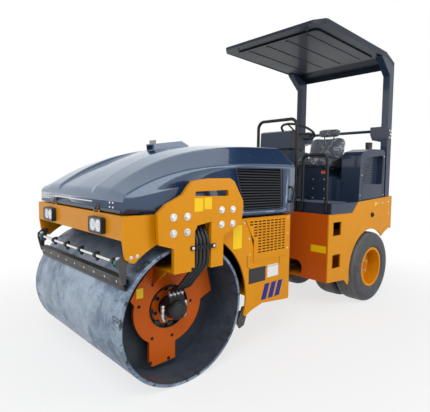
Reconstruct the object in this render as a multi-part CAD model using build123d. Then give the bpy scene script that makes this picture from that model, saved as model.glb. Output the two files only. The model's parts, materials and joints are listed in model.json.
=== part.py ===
"""Combination road roller: a smooth vibrating steel drum in front, four smooth tyres behind,
hinged in the middle, with an open platform under a roll-over roof.

Frame: +X forward, +Y to the driver's left, +Z up, millimetres. The origin is on the ground
at the middle of the overall length. Left and right pieces are mirror images.

The skilful piece is the drum yoke: a thick outer plate bolted to the frame, a shelf that
reaches into the drum's open end, and an inner plate that carries the drum's motor.
"""
import os
from math import cos, exp, radians, sin

from build123d import *

# Overall layout
drum_radius = 410.0
drum_width = 1300.0
wheelbase = 2168.0
tail_overhang = 458.0  # from the rear axle to the tail plate's rear face
tyre_radius = 347.0
tyre_width = 240.0
tyres_outside = 1350.0  # over the outer sidewalls
pair_gap = 30.0  # between the two tyres of a pair

length = drum_radius + wheelbase + tail_overhang
x_drum = length / 2 - drum_radius
x_axle = x_drum - wheelbase
x_tail = x_axle - tail_overhang
drum_half = drum_width / 2

# Clearances
running = 0.05  # radial, a shaft in its bearing
seated = 0.3  # between pieces that rest on each other
yoke_gap = 15.0  # between the drum's end and the yoke's outer plate
arch_gap = 60.0  # between the drum's skin and the side plates' arch
tyre_gap = 31.0  # between the tyres and the rear arches
scraper_gap = 5.0  # between a blade and the drum
lug_gap = 5.0  # above and below the hitch barrel

# Drum
drum_wall = 20.0
drum_edge = 3.0
disc_recess = 265.0  # from the drum's end to the outer face of its inner disc
disc_thickness = 25.0
disc_bore = 60.0
hub_radius = 112.0
hub_flange = 18.0
hub_boss_radius = 84.0
hub_depth = 28.0
spindle_radius = 24.0
spindle_reach = 20.0
disc_face = drum_half - disc_recess

# Front frame
frame_inset = 10.0  # from the drum's ends in to the side plates' outer faces
side_plate = 12.0
head_reach = 384.0  # from the drum's axle to the head panel's front face
head_flange = 90.0
head_foot = 56.0
head_wall = 10.0
deck_z = 1000.0  # top edge of the side plates in front
head_drop = 124.0
bay_length = 492.0  # of the lower deck behind the step
step_run = 30.0
step_drop = 62.0  # from the front deck down to the rear deck
bay_reach = 910.0  # from the drum's axle back to the bulkhead's front face
skirt_bottom = 300.0
skirt_rise = 28.0
chin_height = 118.0  # from the side plates' front corner down to their foot
bulkhead = 20.0
deck_plate = 10.0
tray_plate = 12.0
tray_z = 400.0
engine_length = 400.0
engine_half = 270.0
engine_height = 650.0
bay_gap = 52.0  # between the bulkhead and the engine
head_x = x_drum + head_reach
x_bay = x_drum - bay_reach
step_x = x_bay + bay_length
rear_deck_z = deck_z - step_drop
frame_half = drum_half - frame_inset
frame_inside = frame_half - side_plate
deck_over_drum = 2 * drum_radius + arch_gap
arch_radius = drum_radius + arch_gap

# Perforated panels and the windows behind them
panel_plate = 6.0
panel_margin = 18.0
panel_height = 290.0
panel_length = 436.0
panel_waist = 77.0  # how much shorter the panel is below its slant
window_inset = 22.0
slot_rows = 12
slot_columns = 9
slot_length = 32.0
slot_height = 9.0
slot_pitch_x = 41.0
slot_pitch_z = 19.5

# Headlamps
lamp_y = 370.0
lamp_width = 165.0
lamp_height = 88.0
lamp_depth = 26.0
lamp_corner = 16.0
lamp_rim = 10.0
lamp_recess = 8.0
lamp_glass = 6.0
lamp_z = deck_z - head_drop / 2 - 4

# Drum yokes
yoke_plate = 25.0
yoke_bottom = 690.0
shelf = 20.0
yoke_leg_front = 119.0  # from the drum's axle to the front edge of the yoke's leg
yoke_leg_rear = 225.0
yoke_wing_front = 220.0
yoke_wing_rear = 386.0
yoke_top = 1202.0
yoke_shoulder = 842.0  # height where the wings begin
inner_gap = 45.0  # from the drum's inner disc to the yoke's inner plate
inner_disc_radius = 232.0
inner_ear_rear = 321.0
inner_ear_front = 249.0
inner_tongue = 344.0  # how far the tongue reaches below the axle
motor_hole_radius = 130.0
hose_slot = 117.0
hose_slot_x = 74.5  # from the drum's axle back to the slot's middle
hose_slot_top = 945.0
lash_length = 256.0
lash_height = 34.0
lash_x = 138.0
lash_z = 1114.0
bolt_pitch = 88.0
front_bolts_x = 80.0
front_bolts_z = 940.0
rear_bolts_x = 254.0
rear_bolts_z = 966.0
bolt_head_radius = 14.0
bolt_head = 12.0
spacer_radius = 26.0
rib_plate = 12.0
rib_reach = 150.0
rib_drop = 110.0
yoke_outside = drum_half + yoke_gap + yoke_plate
yoke_inside = yoke_outside - yoke_plate
inner_plate_in = disc_face + inner_gap
inner_plate_out = inner_plate_in + yoke_plate

# Drum motors and hoses
motor_radius = 58.0
motor_length = 118.0
mount_radius = 168.0
mount_plate = 12.0
port_block = 50.0
port_half = 30.0
port_height = 78.0
hose_radius = 11.0
hose_pitch = 26.0
hose_shift = 62.0  # forward step from the slot to the motor's ports
manifold_half = 70.0
manifold_depth = 60.0
manifold_height = 60.0
clamp_thickness = 10.0
clamp_height = 24.0
clamp_z = 802.0
motor_out = inner_plate_out + motor_length - 13
port_y = inner_plate_out + 55
manifold_y = inner_plate_out + 65

# Scrapers and sprinkler
scraper_angle_front = 30.0
scraper_angle_rear = 200.0
blade = 9.0
blade_reach = 66.0
blade_lean = 14.0
blade_flange = 32.0
sprinkler_reach = 386.0
sprinkler_z = 760.0
sprinkler_radius = 9.0
nozzle_count = 6
nozzle_half = 14.0
nozzle_inset = 70.0
nozzle_drop = 34.0
scraper_half = frame_inside - side_plate

# Hood
hood_inset = 8.0  # from the side plates' inner faces in to the hood's sides
hood_setback = 12.0  # from the head panel's face back to the hood's lip
hood_overhang = 68.0  # past the bulkhead's front face
hood_wall = 10.0
hood_gap = 8.0
lip_crease = 98.0  # the side crease's height over the deck at the front lip
crease_rise = 212.0
crease_run = 330.0
lip_shoulder = 120.0
shoulder_rise = 342.0
shoulder_run = 420.0
shoulder_inset = 167.0
ridge_front_y = 262.0
ridge_rear_y = 190.0
ridge_rise = 20.0
valley_depth = 26.0
valley_length = 560.0
hinge_pin = 4.0
hinge_knuckle = 7.0
hinge_ahead = 8.0
hinge_over = 10.0
hinge_y = 330.0
hinge_half = 24.0
hinge_lug = 8.0
louvre_bottom = 990.0
louvre_top = 1276.0
louvre_rear = 62.0  # from the bulkhead's front face to the window's rear edge
louvre_length_top = 470.0
louvre_length_bottom = 385.0
louvre_corner = 22.0
louvre_slats = 14
louvre_frame = 16.0
louvre_back = 4.0
slat = 5.0
scoop_length = 311.0
scoop_width = 110.0
scoop_height = 58.0
scoop_x = 165.0  # from the drum's axle back to the scoop's mouth
scoop_wall = 8.0
handle_radius = 8.0
handle_reach = 34.0
handle_height = 130.0
handle_z = 1085.0
hood_half = frame_inside - hood_inset
hood_front = head_x - hood_setback
hood_rear = x_bay - hood_overhang
hood_length = hood_front - hood_rear
shoulder_half = hood_half - shoulder_inset
hinge_x = hood_front + hinge_ahead
hinge_z = deck_z + hinge_over

# Hitch and steering
pivot_back = 218.0  # from the bulkhead's front face back to the steering pivot
pivot_z = 390.0
hitch_radius = 62.0
pin_radius = 30.0
hitch_half_height = 140.0
lug_thickness = 30.0
lug_radius = 66.0
lug_root = 120.0
trunnion_radius = 55.0
bearing_radius = 105.0
bearing_length = 68.0
hitch_flange_radius = 84.0
hitch_flange = 32.0
steer_arm_x = 50.0
steer_arm_y = 120.0
steer_arm_radius = 26.0
steer_arm_plate = 14.0
steer_arm_level = 34.0
steer_pin_radius = 11.0
steer_drift = 20.0  # free play of the opened eye around its pin
eye_wall = 11.0
eye_height = 40.0
foot_back = 620.0  # from the steering pivot back to the cylinder's foot pin
foot_y = 230.0
foot_pin_radius = 18.0
foot_eye_radius = 34.0
foot_plate = 16.0
foot_level = 32.0
cylinder_radius = 32.0
cylinder_length = 430.0
rod_radius = 16.0
rod_seat = 340.0
x_pivot = x_bay - pivot_back
steer_x = x_pivot + steer_arm_x
foot_x = x_pivot - foot_back

# Rear frame
nose_back = 310.0  # from the steering pivot back to the rear frame's front plate
rear_inset = 40.0  # from the tyres' outer faces in to the side plates' outer faces
rear_plate = 12.0
rear_bottom = 312.0
claw_drop = 81.0
tail_bottom = 657.0
tail_corner = 720.0
tail_top = 1045.0
platform_z = 1000.0
platform_depth = 95.0
platform_lip = 23.0
platform_length = 447.0
platform_slant = 100.0
platform_edge = 5.0
floor_plate = 8.0
access_width = 128.0
access_height = 120.0
access_back = 133.0
access_low = 485.0
access_high = 775.0
eye_slot_length = 250.0
eye_slot_height = 150.0
belly_gap = 30.0
belly_plate = 10.0
wall_gap = 19.0
axle_housing_radius = 130.0
axle_housing_half = 130.0
axle_mount_half = 90.0
axle_radius = 40.0
rear_half = tyres_outside / 2 - rear_inset
rear_inside = rear_half - rear_plate
rear_front_x = x_pivot - nose_back
platform_front = rear_front_x - platform_lip
platform_rear = platform_front - platform_length
platform_half = rear_half + platform_edge
platform_low = platform_z - platform_depth
belly_z = 2 * tyre_radius + belly_gap
front_wall = x_axle + tyre_radius + wall_gap

# Wheels
bead_radius = 195.0
bead_inset = 22.0
tread_inset = 48.0
rim_wall = 23.0
rim_disc = 16.0
rim_disc_depth = 140.0
rim_hub_radius = 120.0

# Platform furniture
driver_y = 110.0
console_half = 345.0
console_setback = 352.0  # from the platform's front edge
console_height = 235.0
ledge_half = 400.0
ledge_drop = 25.0
ledge_setback = 90.0
back_box_length = 352.0
back_box_height = 335.0
console_bevel = 20.0
seat_base_height = 90.0
seat_base_length = 280.0
seat_base_half = 150.0
seat_width = 470.0
seat_depth = 338.0
cushion_height = 74.0
backrest_height = 330.0
backrest_thickness = 72.0
headrest_height = 90.0
headrest_half = 140.0
seat_corner = 40.0
pod_length = 527.0
pod_width = 210.0
pod_height = 526.0
pod_front_height = 440.0
pod_setback = 502.0  # from the platform's front edge
pod_edge = 25.0
pocket_depth = 60.0
pocket_margin = 50.0
pocket_foot = 170.0
pocket_corner = 24.0
cap_radius = 34.0
cap_height = 80.0
dash_width = 392.0
dash_bottom = 490.0
dash_height = 168.0
dash_depth = 207.0
dash_fall = 83.0
dash_ahead = 15.0
dash_shift = 130.0
pedestal_half = 110.0
pedestal_depth = 125.0
pedestal_setback = 42.0
column_radius = 26.0
column_length = 90.0
wheel_setback = 139.0
wheel_height = 640.0
wheel_lean = 20.0
wheel_ring = 162.0
wheel_grip = 12.0
wheel_hub = 34.0
wheel_rise = 20.0
lever_box = 210.0
lever_half = 30.0
lever_height = 150.0
lever_stalk = 140.0
lever_y = 290.0
rail_radius = 15.0
rail_drop = 72.0
rail_half = 245.0
rail_height = 755.0
rail_bend = 70.0
side_rail_inner = 330.0
side_rail_outer = 592.0
side_rail_height = 420.0
side_rail_bend = 50.0
rail_pad = 38.0
console_front = platform_front - console_setback
console_z = platform_z + console_height
seat_z = console_z + seat_base_height
pod_front = platform_front - pod_setback
pod_rear = pod_front - pod_length
pod_out = rear_half - pod_edge
pod_in = pod_out - pod_width
pod_top = platform_z + pod_height
rail_x = platform_front + rail_radius
wheel_x = platform_front - wheel_setback
wheel_z = platform_z + wheel_height

# Roll-over frame and roof
post_setback = 1037.0  # from the platform's front edge
post_depth = 90.0
post_width = 76.0
post_inset = 55.0  # from the side plates in to the posts' middle
joint_z = 1700.0
joint_block = 80.0
joint_reach = 127.0
gusset_drop = 90.0
brace_height = 150.0
brace_reach = 220.0
brace_width = 90.0
crossbar_radius = 16.0
roof_z = 2462.0  # underside
roof_thickness = 58.0
roof_length = 1344.0
roof_ahead = 205.0  # from the platform's front edge to the roof's
roof_inset = 23.0
roof_fall = 66.0
roof_fall_run = 190.0
roof_nose = 26.0
roof_nose_run = 110.0
roof_corner = 75.0
roof_skin = 6.0
post_front = platform_front - post_setback
post_rear = post_front - post_depth
post_y = rear_half - post_inset
roof_front = platform_front + roof_ahead
roof_rear = roof_front - roof_length
roof_half = rear_half - roof_inset


def block(x0, x1, y0, y1, z0, z1):
    """A rectangular piece between six faces."""
    return Pos((x0 + x1) / 2, (y0 + y1) / 2, (z0 + z1) / 2) * Box(x1 - x0, y1 - y0, z1 - z0)


def outline(*points):
    """A flat face through the given corners."""
    return make_face(Polyline(*points, close=True))


def slab(face, y0, y1):
    """A plate whose outline lies in X and Z, from y0 to y1."""
    return extrude(Plane.XZ.offset(-y1) * face, amount=y1 - y0)


def rod_x(y, z, radius, x0, x1):
    """A round bar along X."""
    return Pos((x0 + x1) / 2, y, z) * Rot(0, 90, 0) * Cylinder(radius, x1 - x0)


def rod_y(x, z, radius, y0, y1):
    """A round bar along Y."""
    return Pos(x, (y0 + y1) / 2, z) * Rot(90, 0, 0) * Cylinder(radius, y1 - y0)


def rod_z(x, y, radius, z0, z1):
    """An upright round bar."""
    return Pos(x, y, (z0 + z1) / 2) * Cylinder(radius, z1 - z0)


def turned(x, z, *profile):
    """A piece turned about an axle along Y, from a profile of radius and Y."""
    return revolve(Pos(x, 0, z) * outline(*profile), axis=Axis((x, 0, z), (0, 1, 0)))


def pair(piece):
    """The left piece and its mirror image on the right."""
    return Compound([*piece.solids(), *mirror(piece, about=Plane.XZ).solids()])


def tube(radius, bends, *points):
    """A round bar or hose along straight runs joined by arcs."""
    path = FilletPolyline(*points, radius=bends)
    start = Plane(origin=path @ 0, z_dir=path % 0)
    return sweep(start * Circle(radius), path=path)


def around(angle, radius):
    """The X and Z of a point at an angle and a distance from the drum's axle."""
    return x_drum + radius * cos(radians(angle)), drum_radius + radius * sin(radians(angle))


def bolt_places():
    """The eight bolt places of a yoke, two squares of four."""
    half = bolt_pitch / 2
    centres = ((x_drum + front_bolts_x, front_bolts_z), (x_drum - rear_bolts_x, rear_bolts_z))
    return [(x + i * half, z + k * half) for x, z in centres for i in (-1, 1) for k in (-1, 1)]


# Front drum
def drum_shell():
    inner = drum_radius - drum_wall
    deep = disc_face - disc_thickness
    return turned(
        x_drum, drum_radius,
        (drum_radius - drum_edge, drum_half), (drum_radius, drum_half - drum_edge),
        (drum_radius, drum_edge - drum_half), (drum_radius - drum_edge, -drum_half),
        (inner, -drum_half), (inner, -disc_face), (disc_bore, -disc_face), (disc_bore, -deep),
        (inner, -deep), (inner, deep), (disc_bore, deep), (disc_bore, disc_face),
        (inner, disc_face), (inner, drum_half),
    )


def drum_hubs():
    flange, boss = disc_face + hub_flange, disc_face + hub_depth
    hole = spindle_radius + running
    return pair(turned(
        x_drum, drum_radius,
        (hole, disc_face), (hub_radius, disc_face), (hub_radius, flange),
        (hub_boss_radius, flange), (hub_boss_radius, boss), (hole, boss),
    ))


# Front frame
def window():
    """The opening behind the perforated panel, within the panel's own outline."""
    low, high = rear_deck_z - panel_margin / 2 - panel_height, rear_deck_z - panel_margin / 2
    rear = x_bay + panel_margin + window_inset
    front = x_bay + panel_margin + panel_length - window_inset
    return outline(
        (rear, low + window_inset), (front - panel_waist, low + window_inset),
        (front, high - window_inset / 2), (rear, high - window_inset / 2),
    )


def front_side_plates():
    skirt_mid, skirt_tip = x_drum - 630, x_drum - 467
    foot = deck_z - head_drop - chin_height
    plate = outline(
        (head_x, deck_z), (step_x + step_run, deck_z), (step_x, rear_deck_z),
        (x_bay, rear_deck_z), (x_bay, skirt_bottom), (skirt_mid, skirt_bottom + skirt_rise),
        (x_drum - 523, skirt_bottom), (skirt_tip, skirt_bottom - skirt_rise),
        (x_drum, drum_radius + 290), (x_drum + 339, foot), (x_drum + 371, foot + 24),
        (head_x, foot + chin_height),
    )
    plate -= Pos(x_drum, drum_radius) * Circle(arch_radius)
    plate -= window()
    plate -= Pos(x_drum - hose_slot_x, deck_over_drum + 25) * Rectangle(hose_slot - 6, 80)
    return pair(slab(plate, frame_inside, frame_half))


def head_panel():
    low, back = deck_z - head_drop, head_x - head_flange
    section = outline(
        (head_x, low), (head_x, deck_z), (back, deck_z), (back, deck_z - head_wall),
        (head_x - head_wall, deck_z - head_wall), (head_x - head_wall, low + head_wall),
        (head_x - head_foot, low + head_wall), (head_x - head_foot, low),
    )
    panel = slab(section, -frame_inside, frame_inside)
    reach = hinge_half + 2 + hinge_lug
    for y in (-hinge_y, hinge_y):
        panel += rod_y(hinge_x, hinge_z, hinge_pin, y - reach, y + reach)
        for end in (y - reach, y + reach - hinge_lug):
            panel += block(hinge_x - hinge_pin, hinge_x + hinge_pin, end, end + hinge_lug,
                           deck_z, hinge_z + hinge_pin)
    return panel


def lamp_case(x0, x1, inset):
    """A rounded block for one headlamp, drawn in by an inset on all four sides."""
    face = RectangleRounded(lamp_width - 2 * inset, lamp_height - 2 * inset, lamp_corner - inset)
    plane = Plane(origin=(x0, lamp_y, lamp_z), x_dir=(0, 1, 0), z_dir=(1, 0, 0))
    return extrude(plane * face, amount=x1 - x0)


def headlamps():
    front = head_x + lamp_depth
    return pair(lamp_case(head_x, front, 0) - lamp_case(front - lamp_recess, front, lamp_rim))


def lamp_glasses():
    rear = head_x + lamp_depth - lamp_recess
    return pair(lamp_case(rear, rear + lamp_glass, lamp_rim + seated))


def grille_panels():
    top = rear_deck_z - panel_margin / 2
    low, rear = top - panel_height, x_bay + panel_margin
    front = rear + panel_length
    panel = outline(
        (rear, low), (front - panel_waist, low), (front - panel_waist, low + panel_height / 2),
        (front - panel_waist / 2, low + 0.72 * panel_height), (front, top), (rear, top),
    )
    for row in range(slot_rows):
        z = top - panel_margin - row * slot_pitch_z
        lean = min(1.0, row / (slot_rows - 4)) * (panel_waist + 10)
        for column in range(slot_columns):
            x = rear + 2 * panel_margin + (column + 0.5) * slot_pitch_x
            if x + slot_length / 2 + panel_margin / 2 < front - lean - 8:
                panel -= Pos(x, z) * Rectangle(slot_length, slot_height)
    return pair(slab(panel, frame_half, frame_half + panel_plate))


def bulkhead_plate():
    rear = x_bay - bulkhead
    plate = block(rear, x_bay, -frame_inside, frame_inside, skirt_bottom, rear_deck_z)
    plate += block(x_bay, x_bay + engine_length + 12, -frame_inside, frame_inside,
                   tray_z, tray_z + tray_plate)
    plate += rod_x(0, pivot_z, bearing_radius, rear - bearing_length, rear)
    for side in (-1, 1):
        rib = outline((rear, pivot_z + 60), (rear - 50, pivot_z + 60), (rear - 12, pivot_z + 230),
                      (rear, pivot_z + 230))
        plate += slab(rib, side * 70 - rib_plate / 2, side * 70 + rib_plate / 2)
    return plate - rod_x(0, pivot_z, trunnion_radius + running, rear - bearing_length, x_bay)


def engine_block():
    x0, z0 = x_bay + bay_gap, tray_z + tray_plate
    engine = block(x0, x0 + engine_length - bay_gap, -engine_half, engine_half,
                   z0, z0 + engine_height)
    return engine


def drum_deck():
    mid, half = x_drum - hose_slot_x, manifold_half
    z = deck_over_drum
    deck = block(step_x - 20, head_x - 82, -frame_inside, frame_inside, z, z + deck_plate)
    return deck + pair(block(mid - half, mid + half, manifold_y - manifold_depth, manifold_y,
                             z, z + deck_plate + manifold_height))


# Drum yokes, one left and one right
def yoke_outline():
    front, rear = x_drum + yoke_leg_front, x_drum - yoke_leg_rear
    wing_front, wing_rear = x_drum + yoke_wing_front, x_drum - yoke_wing_rear
    face = outline(
        (front, yoke_bottom), (front, yoke_shoulder - 30), (wing_front - 8, yoke_shoulder),
        (wing_front, yoke_top - 194), (wing_front - 53, yoke_top - 146),
        (x_drum + 64, yoke_top - 96), (x_drum + 32, yoke_top - 52), (x_drum, yoke_top - 20),
        (x_drum - 108, yoke_top - 4), (x_drum - 273, yoke_top), (x_drum - 308, yoke_top - 19),
        (wing_rear + 3, yoke_top - 140), (wing_rear, yoke_top - 182),
        (wing_rear + 16, yoke_shoulder + 73), (rear - 11, yoke_shoulder + 16),
        (rear - 1, yoke_shoulder - 7), (rear, yoke_bottom),
    )
    return fillet(face.vertices().filter_by(lambda v: v.Y > yoke_shoulder - 20), spacer_radius / 2)


def drum_yokes():
    axle = drum_radius
    front, rear = x_drum + yoke_leg_front, x_drum - yoke_leg_rear
    low, high = lash_z - lash_height / 2, lash_z + lash_height / 2
    lash = outline((x_drum - lash_x - lash_length / 2 + 8, high),
                   (x_drum - lash_x + lash_length / 2 - 10, high - 8),
                   (x_drum - lash_x + lash_length / 2, low), (x_drum - lash_x - lash_length / 2, low - 4))
    slot_front = x_drum - hose_slot_x + hose_slot / 2
    slot_rear = slot_front - hose_slot
    notch = outline((slot_front, yoke_bottom), (slot_front, hose_slot_top - 50),
                    (slot_front - 18, hose_slot_top - 16), (slot_rear, hose_slot_top),
                    (slot_rear, yoke_bottom))
    piece = slab(yoke_outline() - fillet(lash.vertices(), 8) - notch, yoke_inside, yoke_outside)
    sheet = block(rear, front, inner_plate_in, yoke_outside, yoke_bottom - shelf, yoke_bottom)
    piece += sheet - block(slot_rear, slot_front + 2 * hose_radius, inner_plate_out + 55, yoke_outside,
                           yoke_bottom - shelf, yoke_bottom)
    inner = Pos(x_drum, axle) * Circle(inner_disc_radius)
    inner += outline(
        (front, yoke_bottom - shelf), (x_drum + 200, axle + 168),
        (x_drum + inner_ear_front, axle + 86), (x_drum + inner_ear_front - 31, axle + 40),
        (x_drum - 200, axle - 20), (x_drum - inner_ear_rear, axle + 35),
        (x_drum - inner_ear_rear + 34, axle + 182), (rear, yoke_bottom - shelf),
    )
    tip = axle - inner_tongue
    inner += outline((x_drum - 42, axle), (x_drum - 44, tip + 6), (x_drum + 112, tip),
                     (x_drum + 132, tip + 26), (x_drum + 134, axle))
    inner -= Pos(x_drum, axle) * Circle(motor_hole_radius)
    piece += slab(inner, inner_plate_in, inner_plate_out)
    for x in (rear + 20, front - 19):
        plane = Plane(origin=(x, inner_plate_out, yoke_bottom - shelf), x_dir=(0, 1, 0), z_dir=(1, 0, 0))
        piece += extrude(plane * outline((0, 0), (rib_reach, 0), (0, -rib_drop)), amount=rib_plate)
    for x, z in bolt_places():
        piece += rod_y(x, z, spacer_radius, frame_half, yoke_inside)
    return pair(piece)


def yoke_bolts():
    return pair(Compound([rod_y(x, z, bolt_head_radius, yoke_outside, yoke_outside + bolt_head)
                          for x, z in bolt_places()]))


def drum_motors():
    z, face = drum_radius, inner_plate_in - mount_plate
    body = rod_y(x_drum, z, mount_radius, face, inner_plate_in)
    body += rod_y(x_drum, z, motor_radius, face, motor_out)
    body += rod_y(x_drum, z, spindle_radius, face - spindle_reach, face)
    body += block(x_drum - port_block, x_drum + port_block, port_y - port_half, port_y + port_half,
                  z + motor_radius - 18, z + port_height)
    return pair(body)


def drum_hoses():
    start = deck_over_drum + deck_plate + manifold_height / 2
    face = yoke_outside - hose_radius - seated
    port = drum_radius + port_height
    mid = x_drum - hose_slot_x
    hoses = []
    for place in (-1.5, -0.5, 0.5, 1.5):
        x = mid + place * hose_pitch
        end = x + hose_shift
        hoses.append(tube(
            hose_radius, [40, 60, 90, 70, 45],
            (x, manifold_y, start), (x, manifold_y + 112, start), (x, face, start - 74),
            (x, face, yoke_bottom + 10), (end - 12, port_y + 62, port + 62),
            (end, port_y, port + 40), (end, port_y, port),
        ))
    return pair(Compound(hoses))


def hose_clamps():
    mid, half = x_drum - hose_slot_x, hose_slot / 2 + 28
    return pair(block(mid - half, mid + half, yoke_outside, yoke_outside + clamp_thickness,
                      clamp_z - clamp_height / 2, clamp_z + clamp_height / 2))


# Scrapers and sprinkler
def scrapers():
    x, z, in_face = x_drum, sprinkler_z, frame_inside - side_plate
    tip = around(scraper_angle_front, drum_radius + scraper_gap)
    top = (tip[0] + blade_lean, tip[1] + blade_reach)
    front = outline(tip, (tip[0] + blade, tip[1]), (top[0] + blade, top[1]), top)
    front += outline(top, (top[0] + blade, top[1]), (top[0] + blade, top[1] - blade),
                     (top[0] - blade_flange, top[1] - blade + 1), (top[0] - blade_flange, top[1] + 1))
    arm = outline((x + 330, z + 40), (x + 366, z + 46), (x + sprinkler_reach + 14, z + 15),
                  (x + sprinkler_reach + 14, z - 15), (x + 388, z - 70), (x + 378, z - 110),
                  (x + 360, z - 110), (x + 356, z - 20))
    front_piece = slab(front, -in_face, in_face)
    front_piece += [slab(arm, in_face, frame_inside), slab(arm, -frame_inside, -in_face)]
    tip = around(scraper_angle_rear, drum_radius + scraper_gap)
    back = tip[0] - 70
    rear = outline(tip, (tip[0] - 2, tip[1] - 12), (back, tip[1] - 30), (back + 2, tip[1] - 18))
    rear += outline((back, tip[1] - 30), (back + 10, tip[1] - 30), (back + 10, tip[1] + 34),
                    (back, tip[1] + 34))
    arm = outline((x - 510, 338), (x - 455, 338), (x - 418, 262), (x - 408, 232),
                  (x - 430, 196), (x - 470, 210), (x - 498, 290))
    rear_piece = slab(rear, -in_face, in_face)
    rear_piece += [slab(arm, in_face, frame_inside), slab(arm, -frame_inside, -in_face)]
    return Compound([*front_piece.solids(), *rear_piece.solids()])


def nozzle_places():
    step = 2 * (scraper_half - nozzle_inset) / (nozzle_count - 1)
    return [nozzle_inset - scraper_half + place * step for place in range(nozzle_count)]


def sprinkler_tube():
    return rod_y(x_drum + sprinkler_reach, sprinkler_z, sprinkler_radius, -scraper_half, scraper_half)


def sprinkler_nozzles():
    x, z, half = x_drum + sprinkler_reach, sprinkler_z, nozzle_half
    clips = []
    for y in nozzle_places():
        clip = block(x - half - 4, x + half, y - half, y + half, z - half, z + half)
        clip += rod_z(x - 6, y, 8, z - nozzle_drop, z - half)
        clips.append(clip - rod_y(x, z, sprinkler_radius, y - half, y + half))
    return Compound(clips)


# Hood
def crease_z(x):
    """Height of the crease along the hood's side."""
    return deck_z + lip_crease + crease_rise * (1 - exp((x - hood_front) / crease_run))


def shoulder_z(x):
    """Height of the hood's top along its shoulders, falling a little at the rear."""
    back = (hood_front - x) / hood_length
    fall = 8 * back ** 4
    return deck_z + lip_shoulder + shoulder_rise * (1 - exp((x - hood_front) / shoulder_run)) - fall


def hood_section(x, inset):
    """A cross-section: side, crease, shoulder, the ridge and the shallow valley in the middle."""
    back = (hood_front - x) / hood_length
    low = rear_deck_z + hood_gap - (3 * hood_wall if inset else 0)
    half = hood_half - inset
    top = shoulder_z(x) - inset
    ridge_y = ridge_front_y + (ridge_rear_y - ridge_front_y) * min(1.0, back * 1.4)
    rise = ridge_rise * (0.4 + 0.6 * min(1.0, back * 4))
    share = max(0.0, 1 - ((hood_front - x) / valley_length) ** 3)
    dip = valley_depth * share * (0.5 + 0.5 * min(1.0, back * 5))
    right = [(half, low), (half, crease_z(x) - inset * 0.6), (shoulder_half, top),
             (ridge_y, top + rise), (ridge_y - 18, top + rise - dip), (0, top + rise + 4 - dip)]
    left = [(-y, z) for y, z in reversed(right[:-1])]
    plane = Plane(origin=(x, 0, 0), x_dir=(0, 1, 0), z_dir=(1, 0, 0))
    return plane * outline(*right, *left)


def hood_solid(inset):
    shares = (0, 0.03, 0.07, 0.12, 0.18, 0.25, 0.33, 0.42, 0.53, 0.66, 0.82, 1.0)
    stations = [hood_front - inset - share * (hood_length - 2 * inset) for share in shares]
    return loft([hood_section(x, inset) for x in stations], ruled=True)


def louvre_outline(grow):
    rear = x_bay + louvre_rear - grow
    face = outline((rear, louvre_bottom - grow), (rear + 10, louvre_top + grow / 3),
                   (rear + louvre_length_top + 2 * grow, louvre_top - 10 + grow / 3),
                   (rear + louvre_length_bottom + 2 * grow, louvre_bottom - grow))
    return fillet(face.vertices(), louvre_corner) if not grow else face


def hood_shell():
    shell = hood_solid(0) - hood_solid(hood_wall)
    wide = hood_half + 1
    shell -= block(step_x + 10, hood_front + 1, -wide, wide, 0, deck_z + hood_gap)
    shell -= slab(louvre_outline(0), -wide, wide)
    for y in (-hinge_y, hinge_y):
        shell += block(hood_front, hood_front + 3, y - hinge_half, y + hinge_half,
                       hinge_z, hinge_z + 36)
        shell += rod_y(hinge_x, hinge_z, hinge_knuckle, y - hinge_half, y + hinge_half)
        shell -= rod_y(hinge_x, hinge_z, hinge_pin + running, y - hinge_half, y + hinge_half)
    return shell


def hood_louvres():
    inside = hood_half - hood_wall
    panel = slab(louvre_outline(louvre_frame), inside - louvre_back, inside)
    step = (louvre_top - louvre_bottom - 2 * louvre_frame) / louvre_slats
    rear = x_bay + louvre_rear + louvre_frame
    for place in range(louvre_slats + 1):
        z = louvre_bottom + louvre_frame + place * step
        share = (z - louvre_bottom) / (louvre_top - louvre_bottom)
        reach = louvre_length_bottom + share * (louvre_length_top - louvre_length_bottom)
        panel += block(rear, rear + reach - 2.6 * louvre_frame, inside, hood_half - 2, z, z + slat)
    return pair(panel)


def hood_scoop():
    x1 = x_drum - scoop_x
    x0 = x1 - scoop_length
    z0, z1 = shoulder_z(x0) + 12, shoulder_z(x1) + 6
    side = outline((x0, z0), (x1, z1), (x1 + 6, z1 + scoop_height), (x0 + 90, z0 + scoop_height - 16))
    scoop = slab(side, -scoop_width, 0) - hood_solid(0)
    return scoop - block(x1 - 20, x1 + 10, scoop_wall - scoop_width, -scoop_wall,
                         z1 + 18, z1 + scoop_height - scoop_wall)


def hood_handles():
    x, y, half = hood_rear + 30, hood_half, handle_height / 2
    return pair(tube(handle_radius, [14, 14], (x, y, handle_z + half), (x, y + handle_reach, handle_z + half),
                     (x, y + handle_reach, handle_z - half), (x, y, handle_z - half)))


# Hitch between the two frames
def hitch():
    half = hitch_half_height
    face = x_bay - bulkhead - bearing_length - 5
    body = rod_z(x_pivot, 0, hitch_radius, pivot_z - half, pivot_z + half)
    body += rod_x(0, pivot_z, hitch_flange_radius, face - hitch_flange, face)
    body += rod_x(0, pivot_z, hitch_radius, x_pivot, face)
    body += rod_x(0, pivot_z, trunnion_radius, face, x_bay)
    x, y = steer_x, steer_arm_y
    for level in (-1, 1):
        z = pivot_z + level * steer_arm_level
        low, high = z - steer_arm_plate / 2, z + steer_arm_plate / 2
        body += block(x - steer_arm_radius, x + steer_arm_radius, 0, y, low, high)
        body += rod_z(x, y, steer_arm_radius, low, high)
    body += rod_z(x, y, steer_pin_radius, pivot_z - steer_arm_level, pivot_z + steer_arm_level)
    return body - rod_z(x_pivot, 0, pin_radius + running, pivot_z - half, pivot_z + half)


def cylinder_frame():
    """The steering cylinder's foot and its line towards the pin on the hitch."""
    return Vector(foot_x, foot_y), Vector(steer_x, steer_arm_y) - Vector(foot_x, foot_y)


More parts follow.
